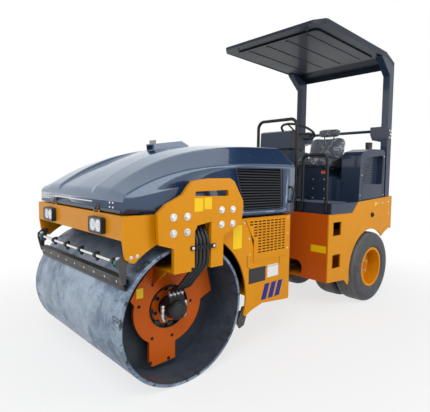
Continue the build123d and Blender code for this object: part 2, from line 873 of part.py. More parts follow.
def steering_rod():
    foot, line = cylinder_frame()
    bore = steer_pin_radius + steer_drift
    long = line.length - rod_seat
    rod = Pos(-bore - long / 2, 0) * Rot(0, 90, 0) * Cylinder(rod_radius, long)
    piece = Cylinder(bore + eye_wall, eye_height) + rod - Cylinder(bore, eye_height)
    return Plane(origin=(steer_x, steer_arm_y, pivot_z), x_dir=line) * piece


def steering_barrel():
    foot, line = cylinder_frame()
    mid = cylinder_length / 2 + 30
    piece = Pos(mid, 0) * Rot(0, 90, 0) * Cylinder(cylinder_radius, cylinder_length)
    piece -= Pos(mid + 50, 0) * Rot(0, 90, 0) * Cylinder(rod_radius + running, cylinder_length)
    piece += Cylinder(foot_eye_radius, eye_height + 4)
    piece -= Cylinder(foot_pin_radius + running, eye_height + 4)
    return Plane(origin=(foot.X, foot.Y, pivot_z), x_dir=line) * piece


# Rear frame
def rear_side_plates():
    z, rear = tyre_radius, x_tail + rear_plate
    plate = outline(
        (rear_front_x, rear_bottom), (rear_front_x, platform_low),
        (platform_rear + platform_slant, platform_low), (platform_rear, platform_z),
        (rear, tail_top), (rear, tail_corner), (x_axle - 290, tail_bottom), (x_axle, z + 100),
        (x_axle + tyre_radius + 23, rear_bottom - 12), (x_axle + tyre_radius + 41, rear_bottom - claw_drop),
        (x_axle + tyre_radius + 106, rear_bottom - 22),
    )
    plate -= Pos(x_axle, z) * Circle(z + tyre_gap)
    for middle in (access_low, access_high):
        plate -= Pos(rear_front_x - access_back, middle) * Rectangle(access_width, access_height)
    return pair(slab(plate, rear_inside, rear_half))


def rear_front_plate():
    back = rear_front_x - rear_plate
    plate = block(back, rear_front_x, -rear_inside, rear_inside, rear_bottom, platform_low)
    plane = Plane(origin=(rear_front_x, foot_y, pivot_z), x_dir=(0, 1, 0), z_dir=(1, 0, 0))
    slot = SlotOverall(eye_slot_length, eye_slot_height)
    plate -= extrude(plane * slot, amount=rear_plate, both=True)
    high = pivot_z + hitch_half_height + lug_gap
    low = pivot_z - hitch_half_height - lug_gap
    for base in (high, low - lug_thickness):
        lug = outline((rear_front_x, -lug_root), (rear_front_x, lug_root),
                      (x_pivot, lug_radius), (x_pivot, -lug_radius))
        lug += Pos(x_pivot, 0) * Circle(lug_radius)
        plate += extrude(Pos(0, 0, base) * lug, amount=lug_thickness)
    return plate + rod_z(x_pivot, 0, pin_radius, low - lug_thickness, high + lug_thickness)


def underframe():
    front, rear = rear_front_x - rear_plate, x_tail + rear_plate
    body = block(rear, front_wall + rear_plate, -rear_inside, rear_inside, belly_z, belly_z + belly_plate)
    body += block(front_wall, front_wall + rear_plate, -rear_inside, rear_inside, rear_bottom, belly_z)
    body += block(front_wall, front, -rear_inside, rear_inside, rear_bottom, rear_bottom + rear_plate)
    body += block(x_tail, rear, -rear_half, rear_half, tail_corner - 20, tail_top)
    for level in (-1, 1):
        z = pivot_z + level * foot_level
        body += block(front_wall, foot_x + 24, foot_y - 30, foot_y + 30,
                      z - foot_plate / 2, z + foot_plate / 2)
    reach = foot_level + foot_plate / 2
    return body + rod_z(foot_x, foot_y, foot_pin_radius, pivot_z - reach, pivot_z + reach)


def axle_drive():
    z = tyre_radius
    inner = tyres_outside / 2 - 2 * tyre_width - pair_gap
    body = block(x_axle - axle_mount_half, x_axle + axle_mount_half, -axle_housing_half,
                 axle_housing_half, z, belly_z)
    body += rod_y(x_axle, z, axle_housing_radius, -axle_housing_half, axle_housing_half)
    return body + rod_y(x_axle, z, axle_radius, -inner - 60, inner + 60)


def platform():
    side = outline((platform_front, platform_low), (platform_front, platform_z),
                   (platform_rear, platform_z), (platform_rear + platform_slant, platform_low))
    tray = slab(side, -platform_half, platform_half)
    tray -= block(platform_rear - 10, platform_front - 10, 10 - platform_half, platform_half - 10,
                  platform_low - 1, platform_z - floor_plate)
    return tray + block(x_tail + rear_plate, platform_front - 20, -rear_inside, rear_inside,
                        platform_z - floor_plate, platform_z)


# Platform furniture
def seat_console():
    z = platform_z
    body = block(pod_rear, console_front, -console_half, console_half, z, console_z)
    body += block(pod_rear, pod_rear + back_box_length, -ledge_half, ledge_half, z, z + back_box_height)
    body += block(pod_rear + back_box_length, console_front - ledge_setback, -ledge_half, ledge_half,
                  z, console_z - ledge_drop)
    body = chamfer(body.edges().filter_by(Axis.Y).group_by(Axis.Z)[-1], console_bevel)
    front = console_front - 15
    return body + block(front - seat_base_length, front, driver_y - seat_base_half,
                        driver_y + seat_base_half, console_z, seat_z)


def side_pods():
    z = platform_z
    face = outline(
        (pod_front, z), (pod_front - 18, z + pod_front_height), (pod_front - 60, z + pod_front_height + 42),
        (pod_front - 210, pod_top - 8), (pod_front - 370, pod_top), (pod_rear + 40, pod_top),
        (pod_rear + 10, pod_top - 16), (pod_rear, z),
    )
    front, rear, low = pod_front - pocket_margin, pod_rear + pocket_margin, z + pocket_foot
    pocket = outline((front, low), (front - 35, z + pod_front_height - 60), (front - 100, pod_top - 96),
                     (rear, pod_top - 56), (rear + 14, low))
    pocket = fillet(pocket.vertices(), pocket_corner)
    return pair(slab(face, pod_in, pod_out) - slab(pocket, pod_out - pocket_depth, pod_out))


def filler_caps():
    x = pod_rear + 92
    return pair(rod_z(x, pod_in + 60, cap_radius, pod_top, pod_top + cap_height))


def seat():
    z, top = seat_z, seat_z + cushion_height
    front = console_front + 15
    rear = front - seat_depth
    low, high = driver_y - seat_width / 2, driver_y + seat_width / 2
    cushion = block(rear, front, low, high, z, top)
    cushion = fillet(cushion.edges().filter_by(Axis.Z), seat_corner)
    tall = z + backrest_height
    back = outline((rear, z + 30), (rear + backrest_thickness, top), (rear + 18, tall),
                   (rear - 52, tall), (rear - 58, tall - 95))
    back = slab(back, low, high)
    back = fillet(back.edges().filter_by(Axis.Y).group_by(Axis.Z)[-1], seat_corner / 2.2)
    head = outline((rear - 54, tall - 5), (rear + 16, tall - 5), (rear - 2, tall + headrest_height),
                   (rear - 66, tall + headrest_height))
    return cushion + back + slab(head, driver_y - headrest_half, driver_y + headrest_half)


def wheel_plane():
    """The steering wheel's plane, leaning back towards the driver."""
    centre = Plane(origin=(wheel_x, driver_y + 20, wheel_z), x_dir=(1, 0, 0), z_dir=(0, 0, 1))
    return centre * Rot(0, -wheel_lean, 0)


def dash_console():
    y = driver_y - dash_shift
    low = platform_z + dash_bottom
    top, front = low + dash_height, platform_front + dash_ahead
    rear = front - dash_depth
    base_front = platform_front - pedestal_setback
    base = block(base_front - pedestal_depth, base_front, y - pedestal_half, y + pedestal_half,
                 platform_z, low + 20)
    box = outline((front, low), (front - 7, top - 13), (front - 34, top), (rear, top - dash_fall), (rear, low))
    column = wheel_plane() * (Pos(0, 0, -column_length / 2 - wheel_hub / 2 + 2 - seated)
                              * Cylinder(column_radius, column_length))
    return base + slab(box, y - dash_width / 2, y + dash_width / 2) + column


def steering_wheel():
    ring = Pos(0, 0, wheel_rise) * Torus(wheel_ring, wheel_grip)
    hub = Cylinder(wheel_hub, wheel_hub - 4)
    reach = wheel_ring - 12
    spokes = [Rot(0, 0, turn) * Pos(13 + reach / 2, 0, wheel_rise - 4) * Box(reach, 22, 8)
              for turn in (0, 120, 240)]
    return wheel_plane() * (ring + hub + spokes)


def control_levers():
    y, front, top = driver_y - lever_y, console_front - 35, console_z + lever_height
    stand = block(front - lever_box, front, y - lever_half, y + lever_half, console_z, top)
    return stand + rod_z(front - 50, y, 12, top, top + lever_stalk)


def rails():
    z, back = platform_z - rail_drop, platform_front
    top, side_top = platform_z + rail_height, platform_z + side_rail_height
    front = tube(rail_radius, [rail_bend, rail_bend], (rail_x, -rail_half, z), (rail_x, -rail_half, top),
                 (rail_x, rail_half, top), (rail_x, rail_half, z))
    side = tube(rail_radius, [side_rail_bend, side_rail_bend], (rail_x, side_rail_inner, z),
                (rail_x, side_rail_inner, side_top), (rail_x, side_rail_outer, side_top),
                (rail_x, side_rail_outer, z))
    half = rail_pad / 2
    side += [block(back, rail_x, y - half, y + half, z + 6, z + 6 + rail_pad)
             for y in (side_rail_inner, side_rail_outer)]
    front += [block(back, rail_x, y - half, y + half, z + 6, z + 6 + rail_pad)
              for y in (-rail_half, rail_half)]
    return Compound([*front.solids(), *pair(side).solids()])


# Roll-over frame
def lower_posts():
    half = post_width / 2
    post = block(post_rear, post_front, post_y - half, post_y + half, platform_z, joint_z)
    plane = Plane(origin=(post_rear, 0, 0), x_dir=(0, 1, 0), z_dir=(1, 0, 0))
    inner = outline((post_y - half - joint_reach, joint_z), (post_y, joint_z), (post_y, joint_z - gusset_drop),
                    (post_y - half - joint_reach + 25, joint_z - gusset_drop * 2 / 3))
    return pair(post + extrude(plane * inner, amount=post_depth))


def roof_envelope(inset):
    """The roof's outer form, or the same drawn in from its skin by an inset and open below."""
    low = roof_z - (roof_fall + 2 if inset else 0)
    high, front, rear = roof_z + roof_thickness - inset, roof_front - inset, roof_rear + inset
    nose = high - roof_nose
    side = outline(
        (front, low if inset else roof_z + 6), (front, nose), (front - roof_nose_run, high),
        (rear + roof_fall_run, high), (rear, high - roof_fall),
        (rear, low if inset else roof_z - roof_fall), (rear + roof_fall_run, low if inset else roof_z),
    )
    half = roof_half - inset
    cut = roof_corner
    plan = outline((front, cut - half), (front - cut, -half), (rear, -half), (rear, half),
                   (front - cut, half), (front, half - cut))
    body = slab(side, -half, half)
    return body & extrude(Pos(0, 0, roof_z - 2 * roof_fall) * plan, amount=4 * roof_fall)


def over_roof():
    """All that lies above the roof's underside, which cuts the posts and braces to length."""
    bend, rear, high = roof_rear + roof_fall_run, roof_rear - roof_fall_run, roof_z + 2 * roof_thickness
    side = outline((roof_front, roof_z), (bend, roof_z), (rear, roof_z - 2 * roof_fall), (rear, high),
                   (roof_front, high))
    return slab(side, -tyres_outside / 2, tyres_outside / 2)


def upper_posts():
    half, low = post_width / 2, joint_z
    top = roof_z + roof_thickness
    post = block(post_rear, post_front, post_y - half, post_y + half, low, top)
    post += block(post_rear, post_front, post_y - half - joint_reach, post_y, low, low + joint_block)
    brace = outline((post_front, top - brace_height - 70), (post_front, top), (post_front + brace_reach, top),
                    (post_front + brace_reach - brace_width / 2, top - brace_height / 2))
    frame = pair(post + slab(brace, post_y - half, post_y + half)) - over_roof()
    x, reach = post_rear + post_depth / 2, post_y - half - joint_reach
    return frame + rod_y(x, low + joint_block / 2, crossbar_radius, -reach, reach)


def roof():
    skin = roof_envelope(0) - roof_envelope(roof_skin)
    inner = roof_envelope(roof_skin + seated)
    liner = inner & block(roof_rear + roof_fall_run, roof_front, -roof_half, roof_half,
                          roof_z + 8, roof_z + 12)
    return Compound([*skin.solids(), *liner.solids()])


# Wheels
def tyre(y0):
    r, w, b = tyre_radius, tyre_width, bead_radius
    half = [(b, bead_inset), (b + 18, 8), (r - 70, 0), (r - 28, 6), (r - 8, 22), (r, tread_inset)]
    far = [(radius, w - y) for radius, y in reversed(half)]
    return turned(x_axle, r, *[(radius, y0 + y) for radius, y in half + far])


def wheel_places():
    outer = tyres_outside / 2 - tyre_width
    return outer, outer - pair_gap - tyre_width


def left_tyres():
    return Compound([s for y0 in wheel_places() for s in tyre(y0).solids()])


def left_rims():
    outer, inner = wheel_places()
    hole, hub, b = axle_radius + running, rim_hub_radius, bead_radius
    wall, disc = b - rim_wall, outer + tyre_width - rim_disc_depth
    return turned(
        x_axle, tyre_radius,
        (hole, inner + 10), (hub, inner + 10), (hub, inner + 30), (wall, inner + 30),
        (wall, inner + 12), (b, inner + 12), (b, outer + tyre_width - 12), (wall, outer + tyre_width - 12),
        (wall, disc), (hub, disc), (hub, disc + rim_disc), (hole, disc + rim_disc),
    )


pieces = {
    "drum_shell": drum_shell(),
    "drum_hubs": drum_hubs(),
    "front_side_plates": front_side_plates(),
    "head_panel": head_panel(),
    "headlamps": headlamps(),
    "lamp_glasses": lamp_glasses(),
    "grille_panels": grille_panels(),
    "bulkhead": bulkhead_plate(),
    "engine_block": engine_block(),
    "drum_deck": drum_deck(),
    "drum_yokes": drum_yokes(),
    "yoke_bolts": yoke_bolts(),
    "drum_motors": drum_motors(),
    "drum_hoses": drum_hoses(),
    "hose_clamps": hose_clamps(),
    "scrapers": scrapers(),
    "sprinkler_tube": sprinkler_tube(),
    "sprinkler_nozzles": sprinkler_nozzles(),
    "hood_shell": hood_shell(),
    "hood_louvres": hood_louvres(),
    "hood_scoop": hood_scoop(),
    "hood_handles": hood_handles(),
    "hitch": hitch(),
    "steering_rod": steering_rod(),
    "steering_barrel": steering_barrel(),
    "rear_side_plates": rear_side_plates(),
    "rear_front_plate": rear_front_plate(),
    "underframe": underframe(),
    "axle_drive": axle_drive(),
    "platform": platform(),
    "seat_console": seat_console(),
    "side_pods": side_pods(),
    "filler_caps": filler_caps(),
    "seat": seat(),
    "dash_console": dash_console(),
    "steering_wheel": steering_wheel(),
    "control_levers": control_levers(),
    "rails": rails(),
    "lower_posts": lower_posts(),
    "upper_posts": upper_posts(),
    "roof": roof(),
    "left_tyres": left_tyres(),
    "left_rims": left_rims(),
    "right_tyres": mirror(left_tyres(), about=Plane.XZ),
    "right_rims": mirror(left_rims(), about=Plane.XZ),
}

os.makedirs("parts", exist_ok=True)
for name, piece in pieces.items():
    export_step(piece, f"parts/{name}.step")
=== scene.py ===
"""Looks of a combination road roller: gloss paint, worn drum steel, smooth tyres, a padded seat in
clear film and the small fittings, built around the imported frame. Metres, +X forward, +Y to the
driver's left, +Z up."""

import json
import math

import bmesh
import bpy
import numpy as np
from mathutils import Matrix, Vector
from mathutils.geometry import tessellate_polygon


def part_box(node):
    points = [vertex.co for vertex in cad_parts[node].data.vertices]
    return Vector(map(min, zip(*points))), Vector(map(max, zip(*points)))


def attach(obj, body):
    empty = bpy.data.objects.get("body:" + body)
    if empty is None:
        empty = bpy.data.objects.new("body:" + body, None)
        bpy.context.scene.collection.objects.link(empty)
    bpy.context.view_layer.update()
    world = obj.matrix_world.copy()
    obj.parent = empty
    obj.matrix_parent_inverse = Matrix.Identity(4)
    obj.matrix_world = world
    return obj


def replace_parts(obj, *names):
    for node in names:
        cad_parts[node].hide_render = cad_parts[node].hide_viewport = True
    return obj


bl_info = {
    "name": "Road roller looks",
    "version": (1, 0, 0),
    "blender": (4, 5, 0),
    "location": "View3D > Sidebar > Roller",
    "description": "Dresses the packed road roller with its finishes, seat, tyres and fittings",
    "category": "Add Mesh",
}

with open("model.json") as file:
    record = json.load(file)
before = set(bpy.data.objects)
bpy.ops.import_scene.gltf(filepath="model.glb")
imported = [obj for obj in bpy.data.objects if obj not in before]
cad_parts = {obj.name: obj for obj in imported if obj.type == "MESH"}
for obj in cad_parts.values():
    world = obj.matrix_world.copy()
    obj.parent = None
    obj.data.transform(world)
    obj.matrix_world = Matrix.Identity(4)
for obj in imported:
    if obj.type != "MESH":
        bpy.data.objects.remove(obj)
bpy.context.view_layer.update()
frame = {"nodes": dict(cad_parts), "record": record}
NODES = frame["nodes"]


def middle(node):
    """The middle of a node's box."""
    low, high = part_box(node)
    return tuple((a + b) / 2 for a, b in zip(low, high))


# Places that the pieces share, read from the frame
DRUM_X, _, DRUM_Z = middle("drum_shell")
AXLE_X, _, AXLE_Z = middle("left_rims")
DRUM_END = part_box("drum_shell")[1].y
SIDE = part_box("front_side_plates")[1].y
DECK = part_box("front_side_plates")[1].z
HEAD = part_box("head_panel")[1].x
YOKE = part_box("hose_clamps")[1].y - 0.010
BAY_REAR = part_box("bulkhead")[0].x + 0.088
HOOD_FRONT = HEAD - 0.012
HOOD_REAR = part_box("hood_shell")[0].x
HOOD_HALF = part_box("hood_shell")[1].y
HOOD_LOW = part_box("hood_shell")[0].z
REAR_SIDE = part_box("rear_side_plates")[1].y
REAR_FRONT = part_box("rear_side_plates")[1].x
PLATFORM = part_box("platform")[1].z
SEAT_LOW, SEAT_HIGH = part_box("seat")
WINDOW_REAR, WINDOW_LOW, WINDOW_HIGH = BAY_REAR + 0.062, DECK - 0.010, DECK + 0.276
# Faces inside the drum's ends, which no box gives: the mount's and the yoke plate's
MOUNT_FACE, INNER_PLATE = 0.430, 0.455
AHEAD, ACROSS, UP, DOWN = (1, 0, 0), (0, 1, 0), (0, 0, 1), (0, 0, -1)


def add_node(tree, kind, inputs, **settings):
    """A node of a kind, with its settings made first and then its sockets' values or links."""
    made = tree.nodes.new(kind)
    for key, setting in settings.items():
        setattr(made, key, setting)
    for key, given in inputs.items():
        socket = made.inputs[key]
        if isinstance(given, Value):
            given = given.link
        if isinstance(given, bpy.types.NodeSocket):
            tree.links.new(given, socket)
        elif socket.type == "RGBA" and len(given) == 3:
            socket.default_value = (*given, 1.0)
        else:
            socket.default_value = given
    return made


class Value:
    """A number or a link in a material; arithmetic on it adds Math nodes."""

    def __init__(self, look, link):
        self.look, self.link = look, link

    def math(self, operation, *others, clamp=False):
        return self.look.value("ShaderNodeMath", dict(enumerate((self, *others))),
                               operation=operation, use_clamp=clamp)

    def __add__(self, other):
        return self.math("ADD", other)

    __radd__ = __add__

    def __mul__(self, other):
        return self.math("MULTIPLY", other)

    __rmul__ = __mul__

    def __sub__(self, other):
        return self.math("SUBTRACT", other)

    def __rsub__(self, other):
        return self * -1.0 + other

    def __pow__(self, other):
        return self.math("POWER", other)

    def __abs__(self):
        return self.math("ABSOLUTE")

    def sine(self):
        return self.math("SINE")

    def clipped(self):
        return self.math("ADD", 0.0, clamp=True)

    def between(self, low, high):
        """0 below low, 1 above high and a smooth rise between them."""
        return self.look.value("ShaderNodeMapRange", {"Value": self, "From Min": low, "From Max": high},
                               interpolation_type="SMOOTHSTEP")


class Look:
    """One procedural material."""

    def __init__(self, name):
        self.material = bpy.data.materials.new(name)
        self.material.use_nodes = True
        self.tree = self.material.node_tree
        self.tree.nodes.clear()
        self.place = self.node("ShaderNodeTexCoord", {}).outputs["Object"]

    def node(self, kind, inputs, **settings):
        return add_node(self.tree, kind, inputs, **settings)

    def value(self, kind, inputs, **settings):
        """The first output of a new node, ready for arithmetic."""
        return Value(self, self.node(kind, inputs, **settings).outputs[0])

    def axis(self, index):
        """One coordinate of the place on the object."""
        return Value(self, self.node("ShaderNodeSeparateXYZ", {0: self.place}).outputs[index])

    def stretched(self, scale):
        """The place on the object with each axis scaled."""
        return self.node("ShaderNodeVectorMath", {0: self.place, 1: scale}, operation="MULTIPLY").outputs[0]

    def noise(self, scale, detail=4.0, rough=0.55, place=None, twist=0.0):
        return self.value("ShaderNodeTexNoise", {"Vector": place or self.place, "Scale": scale,
                                                 "Detail": detail, "Roughness": rough, "Distortion": twist})

    def cells(self, scale, feature="DISTANCE_TO_EDGE"):
        return self.value("ShaderNodeTexVoronoi", {"Vector": self.place, "Scale": scale}, feature=feature)

    def mixed(self, share, first, second):
        """A colour between two, by a share."""
        return self.node("ShaderNodeMix", {0: share, 6: first, 7: second}, data_type="RGBA").outputs[2]

    def bump(self, height, depth, strength=1.0):
        inputs = {"Height": height, "Distance": depth, "Strength": strength}
        return self.node("ShaderNodeBump", inputs).outputs[0]

    def surface(self, **inputs):
        """The finished shader with named sockets."""
        shader = self.node("ShaderNodeBsdfPrincipled",
                           {key.replace("_", " "): given for key, given in inputs.items()})
        self.node("ShaderNodeOutputMaterial", {"Surface": shader.outputs[0]})
        return self.material


def linear(colour):
    """A screen colour as the linear colour that a shader takes."""
    return tuple(c / 12.92 if c <= 0.04045 else ((c + 0.055) / 1.055) ** 2.4 for c in colour)


def darker(colour, share):
    return tuple(c * share for c in colour)


def paint_look(name, colour, deep=0.86, dust=(0.50, 0.38, 0.22), gloss=0.40, coat=0.10, dirt=0.14,
               inner=None):
    """Gloss enamel: a little orange peel, faint clouding, small specks, and dust near the ground. An
    inner colour, painted shade, takes over near the machine's middle plane, on the inner plates."""
    look = Look(name)
    base = linear(colour)
    cloud = look.noise(2.2, 3.0).between(0.3, 0.75)
    fine = look.noise(38.0, 5.0, 0.7)
    shade = look.mixed(cloud * 0.4, base, darker(base, deep))
    if inner:
        # painted shade: near the middle plane the inner plates take the shaded orange
        shade = look.mixed(abs(look.axis(1)).between(0.48, 0.60), linear(inner), shade)
    height = look.axis(2)
    splash = (1.0 - height.between(0.1, 1.1)) * look.noise(9.0, 6.0, 0.65).between(0.45, 0.75)
    speck = look.noise(150.0, 2.0).between(0.70, 0.78)
    grime = (splash * dirt + fine.between(0.62, 0.9) * 0.08 + speck * 0.12).clipped()
    tint = look.mixed(grime, shade, linear(dust))
    return look.surface(Base_Color=tint, Roughness=grime * 0.5 + cloud * 0.06 + gloss, Metallic=0.0,
                        Coat_Weight=(1.0 - grime) * coat, Coat_Roughness=0.09, Specular_IOR_Level=0.15,
                        Normal=look.bump(look.noise(420.0, 2.0), 0.0004, 0.25))


def hood_look(name, colour):
    """The hood's deep gloss blue: a clear coat over a faint metal flake, with water marks."""
    look = Look(name)
    base = linear(colour)
    cloud = look.noise(3.1, 4.0).between(0.35, 0.7)
    flake = look.noise(900.0, 1.0).between(0.45, 0.75)
    marks = look.noise(24.0, 6.0, 0.7, twist=0.4).between(0.60, 0.74)
    shade = look.mixed(cloud * 0.35, base, darker(base, 0.72))
    tint = look.mixed(flake * 0.10 + marks * 0.08, shade, linear((0.62, 0.70, 0.80)))
    return look.surface(Base_Color=tint, Roughness=marks * 0.18 + 0.24, Metallic=0.0,
                        Coat_Weight=1.0 - marks * 0.3, Coat_Roughness=0.03, Coat_Tint=(0.66, 0.83, 1.0),
                        Specular_Tint=(0.70, 0.86, 1.0),
                        Normal=look.bump(look.noise(300.0, 2.0), 0.0003, 0.2))


def drum_look(name):
    """Rolled steel: a cold grey skin with scratches round the drum, pale rubbed patches, dark
    scuffs near its ends, and painted shade: a dark slate inside."""
    look = Look(name)
    x, z = look.axis(0) - DRUM_X, look.axis(2) - DRUM_Z
    radius = (x * x + z * z) ** 0.5
    across = abs(look.axis(1))
    streak = look.noise(1.0, 6.0, 0.65, place=look.stretched((9.0, 210.0, 9.0)))
    mottle = look.noise(9.0, 8.0, 0.72, twist=0.5).between(0.38, 0.66)
    blotch = look.noise(3.2, 6.0, 0.6, twist=0.9).between(0.36, 0.68)
    pits = look.noise(70.0, 5.0, 0.75).between(0.50, 0.72)
    near_end = across.between(DRUM_END - 0.17, DRUM_END - 0.02)
    scuff = (look.noise(1.0, 7.0, 0.75, place=look.stretched((13.0, 5.0, 13.0)), twist=0.7)
             .between(0.52, 0.60) * near_end).clipped()
    cold = look.mixed(mottle, linear((0.31, 0.38, 0.47)), linear((0.53, 0.61, 0.70)))
    rubbed = look.mixed(blotch * 0.65, cold, linear((0.68, 0.74, 0.80)))
    pitted = look.mixed((pits * 0.45 + streak.between(0.48, 0.72) * 0.25).clipped(), rubbed,
                        linear((0.27, 0.31, 0.38)))
    scuffed = look.mixed(scuff * 0.9, pitted, linear((0.10, 0.115, 0.14)))
    inside = 1.0 - radius.between(0.388, 0.396)
    # painted shade: the inside of the shell is coloured dark slate
    painted = look.mixed(look.noise(5.0, 5.0).between(0.3, 0.7), linear((0.155, 0.185, 0.225)),
                         linear((0.215, 0.245, 0.285)))
    colour = look.mixed(inside, scuffed, painted)
    rough = (1.0 - blotch) * 0.16 + pits * 0.15 + inside * 0.12 + 0.33
    height = streak * 0.6 + look.noise(160.0, 4.0) * 0.6 + pits * 0.5
    return look.surface(Base_Color=colour, Roughness=rough, Metallic=(1.0 - inside) * 0.38,
                        Normal=look.bump(height, 0.0008, 0.55))


def metal_look(name, colour, rough=0.35, metallic=1.0, grain=90.0, wear=0.2):
    """Plain metal with a light grain and dull patches."""
    look = Look(name)
    base = linear(colour)
    dull = look.noise(11.0, 5.0, 0.6).between(0.4, 0.75)
    tint = look.mixed(dull * wear, base, darker(base, 0.55))
    return look.surface(Base_Color=tint, Roughness=dull * 0.18 + rough, Metallic=metallic,
                        Normal=look.bump(look.noise(grain, 4.0), 0.0006, 0.35))


def plastic_look(name, colour, rough=0.45, grain=900.0, depth=0.0004, wear=0.25):
    """Moulded plastic or rubber with a fine leathery grain and pale scuffs."""
    look = Look(name)
    base = linear(colour)
    scuff = look.noise(26.0, 7.0, 0.7).between(0.58, 0.85)
    tint = look.mixed(scuff * wear, base, tuple(min(1.0, c * 2.2 + 0.02) for c in base))
    return look.surface(Base_Color=tint, Roughness=scuff * 0.15 + rough, Metallic=0.0,
                        Normal=look.bump(look.cells(grain), depth, 0.4))


def tyre_look(name):
    """Smooth roller tyre: black rubber, greyed by dust on the tread and in the side rings."""
    look = Look(name)
    x, z = look.axis(0) - AXLE_X, look.axis(2) - AXLE_Z
    radius = (x * x + z * z) ** 0.5
    dust = look.noise(16.0, 6.0, 0.65).between(0.35, 0.8)
    tread = radius.between(0.322, 0.344)
    rub = look.noise(1.0, 5.0, 0.6, place=look.stretched((7.0, 60.0, 7.0))).between(0.35, 0.7)
    colour = look.mixed((dust * 0.35 + tread * (rub * 0.35 + 0.25)).clipped(),
                        linear((0.17, 0.185, 0.215)), linear((0.46, 0.455, 0.44)))
    rings = (radius * 900.0).sine() * (1.0 - tread) * 0.3
    return look.surface(Base_Color=colour, Roughness=dust * 0.2 + 0.5, Metallic=0.0,
                        Normal=look.bump(rings + look.noise(240.0, 3.0), 0.0008, 0.4))


def vinyl_look(name, colour):
    """Seat vinyl: a soft pebble grain with a slight sheen."""
    look = Look(name)
    base = linear(colour)
    cloud = look.noise(8.0, 4.0).between(0.3, 0.7)
    tint = look.mixed(cloud * 0.3, base, darker(base, 0.7))
    return look.surface(Base_Color=tint, Roughness=cloud * 0.12 + 0.4, Metallic=0.0,
                        Normal=look.bump(look.cells(620.0, "SMOOTH_F1"), 0.0007, 0.5))


def film_look(name):
    """Thin clear wrap: nearly unseen where it lies flat, with painted highlights as pale white lines along
    its crumpled folds.
    """
    look = Look(name)
    # painted highlights: pale white, more opaque lines along the folds
    crease = 1.0 - abs(look.noise(5.0, 3.0, 0.5, twist=1.4) - 0.5).between(0.002, 0.035)
    small = 1.0 - abs(look.noise(13.0, 3.0, 0.5, twist=1.0) - 0.5).between(0.002, 0.03)
    painted_fold_highlight = (crease * 0.8 + small * 0.35).clipped()
    return look.surface(Base_Color=linear((0.88, 0.92, 0.97)), Roughness=painted_fold_highlight * 0.10 + 0.12, Metallic=0.0,
                        Alpha=painted_fold_highlight * 0.42 + 0.07, Normal=look.bump(painted_fold_highlight, 0.008, 0.8))


def glass_look(name, colour=(0.9, 0.93, 0.95), alpha=0.3, flutes=520.0):
    """Clear or tinted lens with upright fluting."""
    look = Look(name)
    return look.surface(Base_Color=linear(colour), Roughness=0.06, Metallic=0.0, Alpha=alpha,
                        Coat_Weight=1.0, Normal=look.bump((look.axis(1) * flutes).sine(), 0.0015, 0.5))


def sealed(mesh):
    """Joins doubled corners and turns every face outwards."""
    work = bmesh.new()
    work.from_mesh(mesh)
    bmesh.ops.remove_doubles(work, verts=work.verts, dist=0.00002)
    bmesh.ops.recalc_face_normals(work, faces=work.faces)
    work.to_mesh(mesh)
    work.free()


def add_mesh(name, vertices, faces, body, finish, slot, smooth=True, bevel=0.0, crease=38.0):
    """A finished piece from whole arrays of corners and faces, riding on a body."""
    mesh = bpy.data.meshes.new(name)
    mesh.from_pydata(np.asarray(vertices, float).reshape(-1, 3).tolist(), [],
                     [list(map(int, f)) for f in faces])
    mesh.materials.append(look(finish))
    sealed(mesh)
    piece = bpy.data.objects.new(name, mesh)
    bpy.context.scene.collection.objects.link(piece)
    mesh.polygons.foreach_set("use_smooth", np.full(len(mesh.polygons), smooth))
    if bevel:
        edge = piece.modifiers.new("edge", "BEVEL")
        edge.width, edge.segments, edge.limit_method = bevel, 2, "ANGLE"
        edge.angle_limit = math.radians(35)
    if smooth:
        mesh.set_sharp_from_angle(angle=math.radians(crease))
    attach(piece, body)
    return piece


def grid_faces(rows, columns, close_rows=False, close_columns=False):
    """Quads over a grid of corners, optionally joined end to end either way."""
    i = np.arange(rows if close_rows else rows - 1)
    j = np.arange(columns if close_columns else columns - 1)
    i, j = (a.ravel() for a in np.meshgrid(i, j, indexing="ij"))
    a, b = i * columns + j, i * columns + (j + 1) % columns
    c, d = ((i + 1) % rows) * columns + (j + 1) % columns, ((i + 1) % rows) * columns + j
    return np.stack([a, b, c, d], 1).tolist()


def joined(*parts):
    """Several sets of corners and faces as one."""
    corners, faces, start = [], [], 0
    for vertices, quads in parts:
        vertices = np.asarray(vertices, float).reshape(-1, 3)
        corners.append(vertices)
        faces += [[int(k) + start for k in f] for f in quads]
        start += len(vertices)
    return np.concatenate(corners), faces


def mirrored(part):
    """A part and its mirror image on the other side."""
    vertices, faces = part
    return joined(part, (np.asarray(vertices) * (1, -1, 1), [f[::-1] for f in faces]))


def directions(axis):
    """Three directions at right angles: the axis and two across it."""
    axis = np.asarray(axis, float) / np.linalg.norm(axis)
    side = np.cross(axis, (0.0, 0.0, 1.0) if abs(axis[2]) < 0.9 else (1.0, 0.0, 0.0))
    side /= np.linalg.norm(side)
    return axis, side, np.cross(axis, side)


def turned(centre, axis, profile, turns=64, closed=False):
    """A surface of revolution: each profile point is a distance out from the axis and one along it.
    A corner is the centre plus along times the axis plus out times a direction that goes round it.
    A closed profile joins its last point to its first; else both ends get a flat face."""
    axis, side, up = directions(axis)
    angle = np.linspace(0, 2 * np.pi, turns, endpoint=False)
    ring = np.cos(angle)[:, None] * side + np.sin(angle)[:, None] * up
    out, along = np.asarray(profile, float).T
    points = (np.asarray(centre, float) + ring[:, None, :] * out[None, :, None]
              + along[None, :, None] * axis)
    count = len(out)
    faces = grid_faces(turns, count, close_rows=True, close_columns=closed)
    if not closed:
        faces += [[i * count + end for i in range(turns)] for end in (0, count - 1)]
    return points.reshape(-1, 3), faces


def ring_places(centre, axis, radius, count, first=0.0):
    """Places evenly spaced round a circle."""
    _, side, up = directions(axis)
    angle = np.linspace(0, 2 * np.pi, count, endpoint=False) + first
    return np.asarray(centre) + radius * (np.cos(angle)[:, None] * side + np.sin(angle)[:, None] * up)


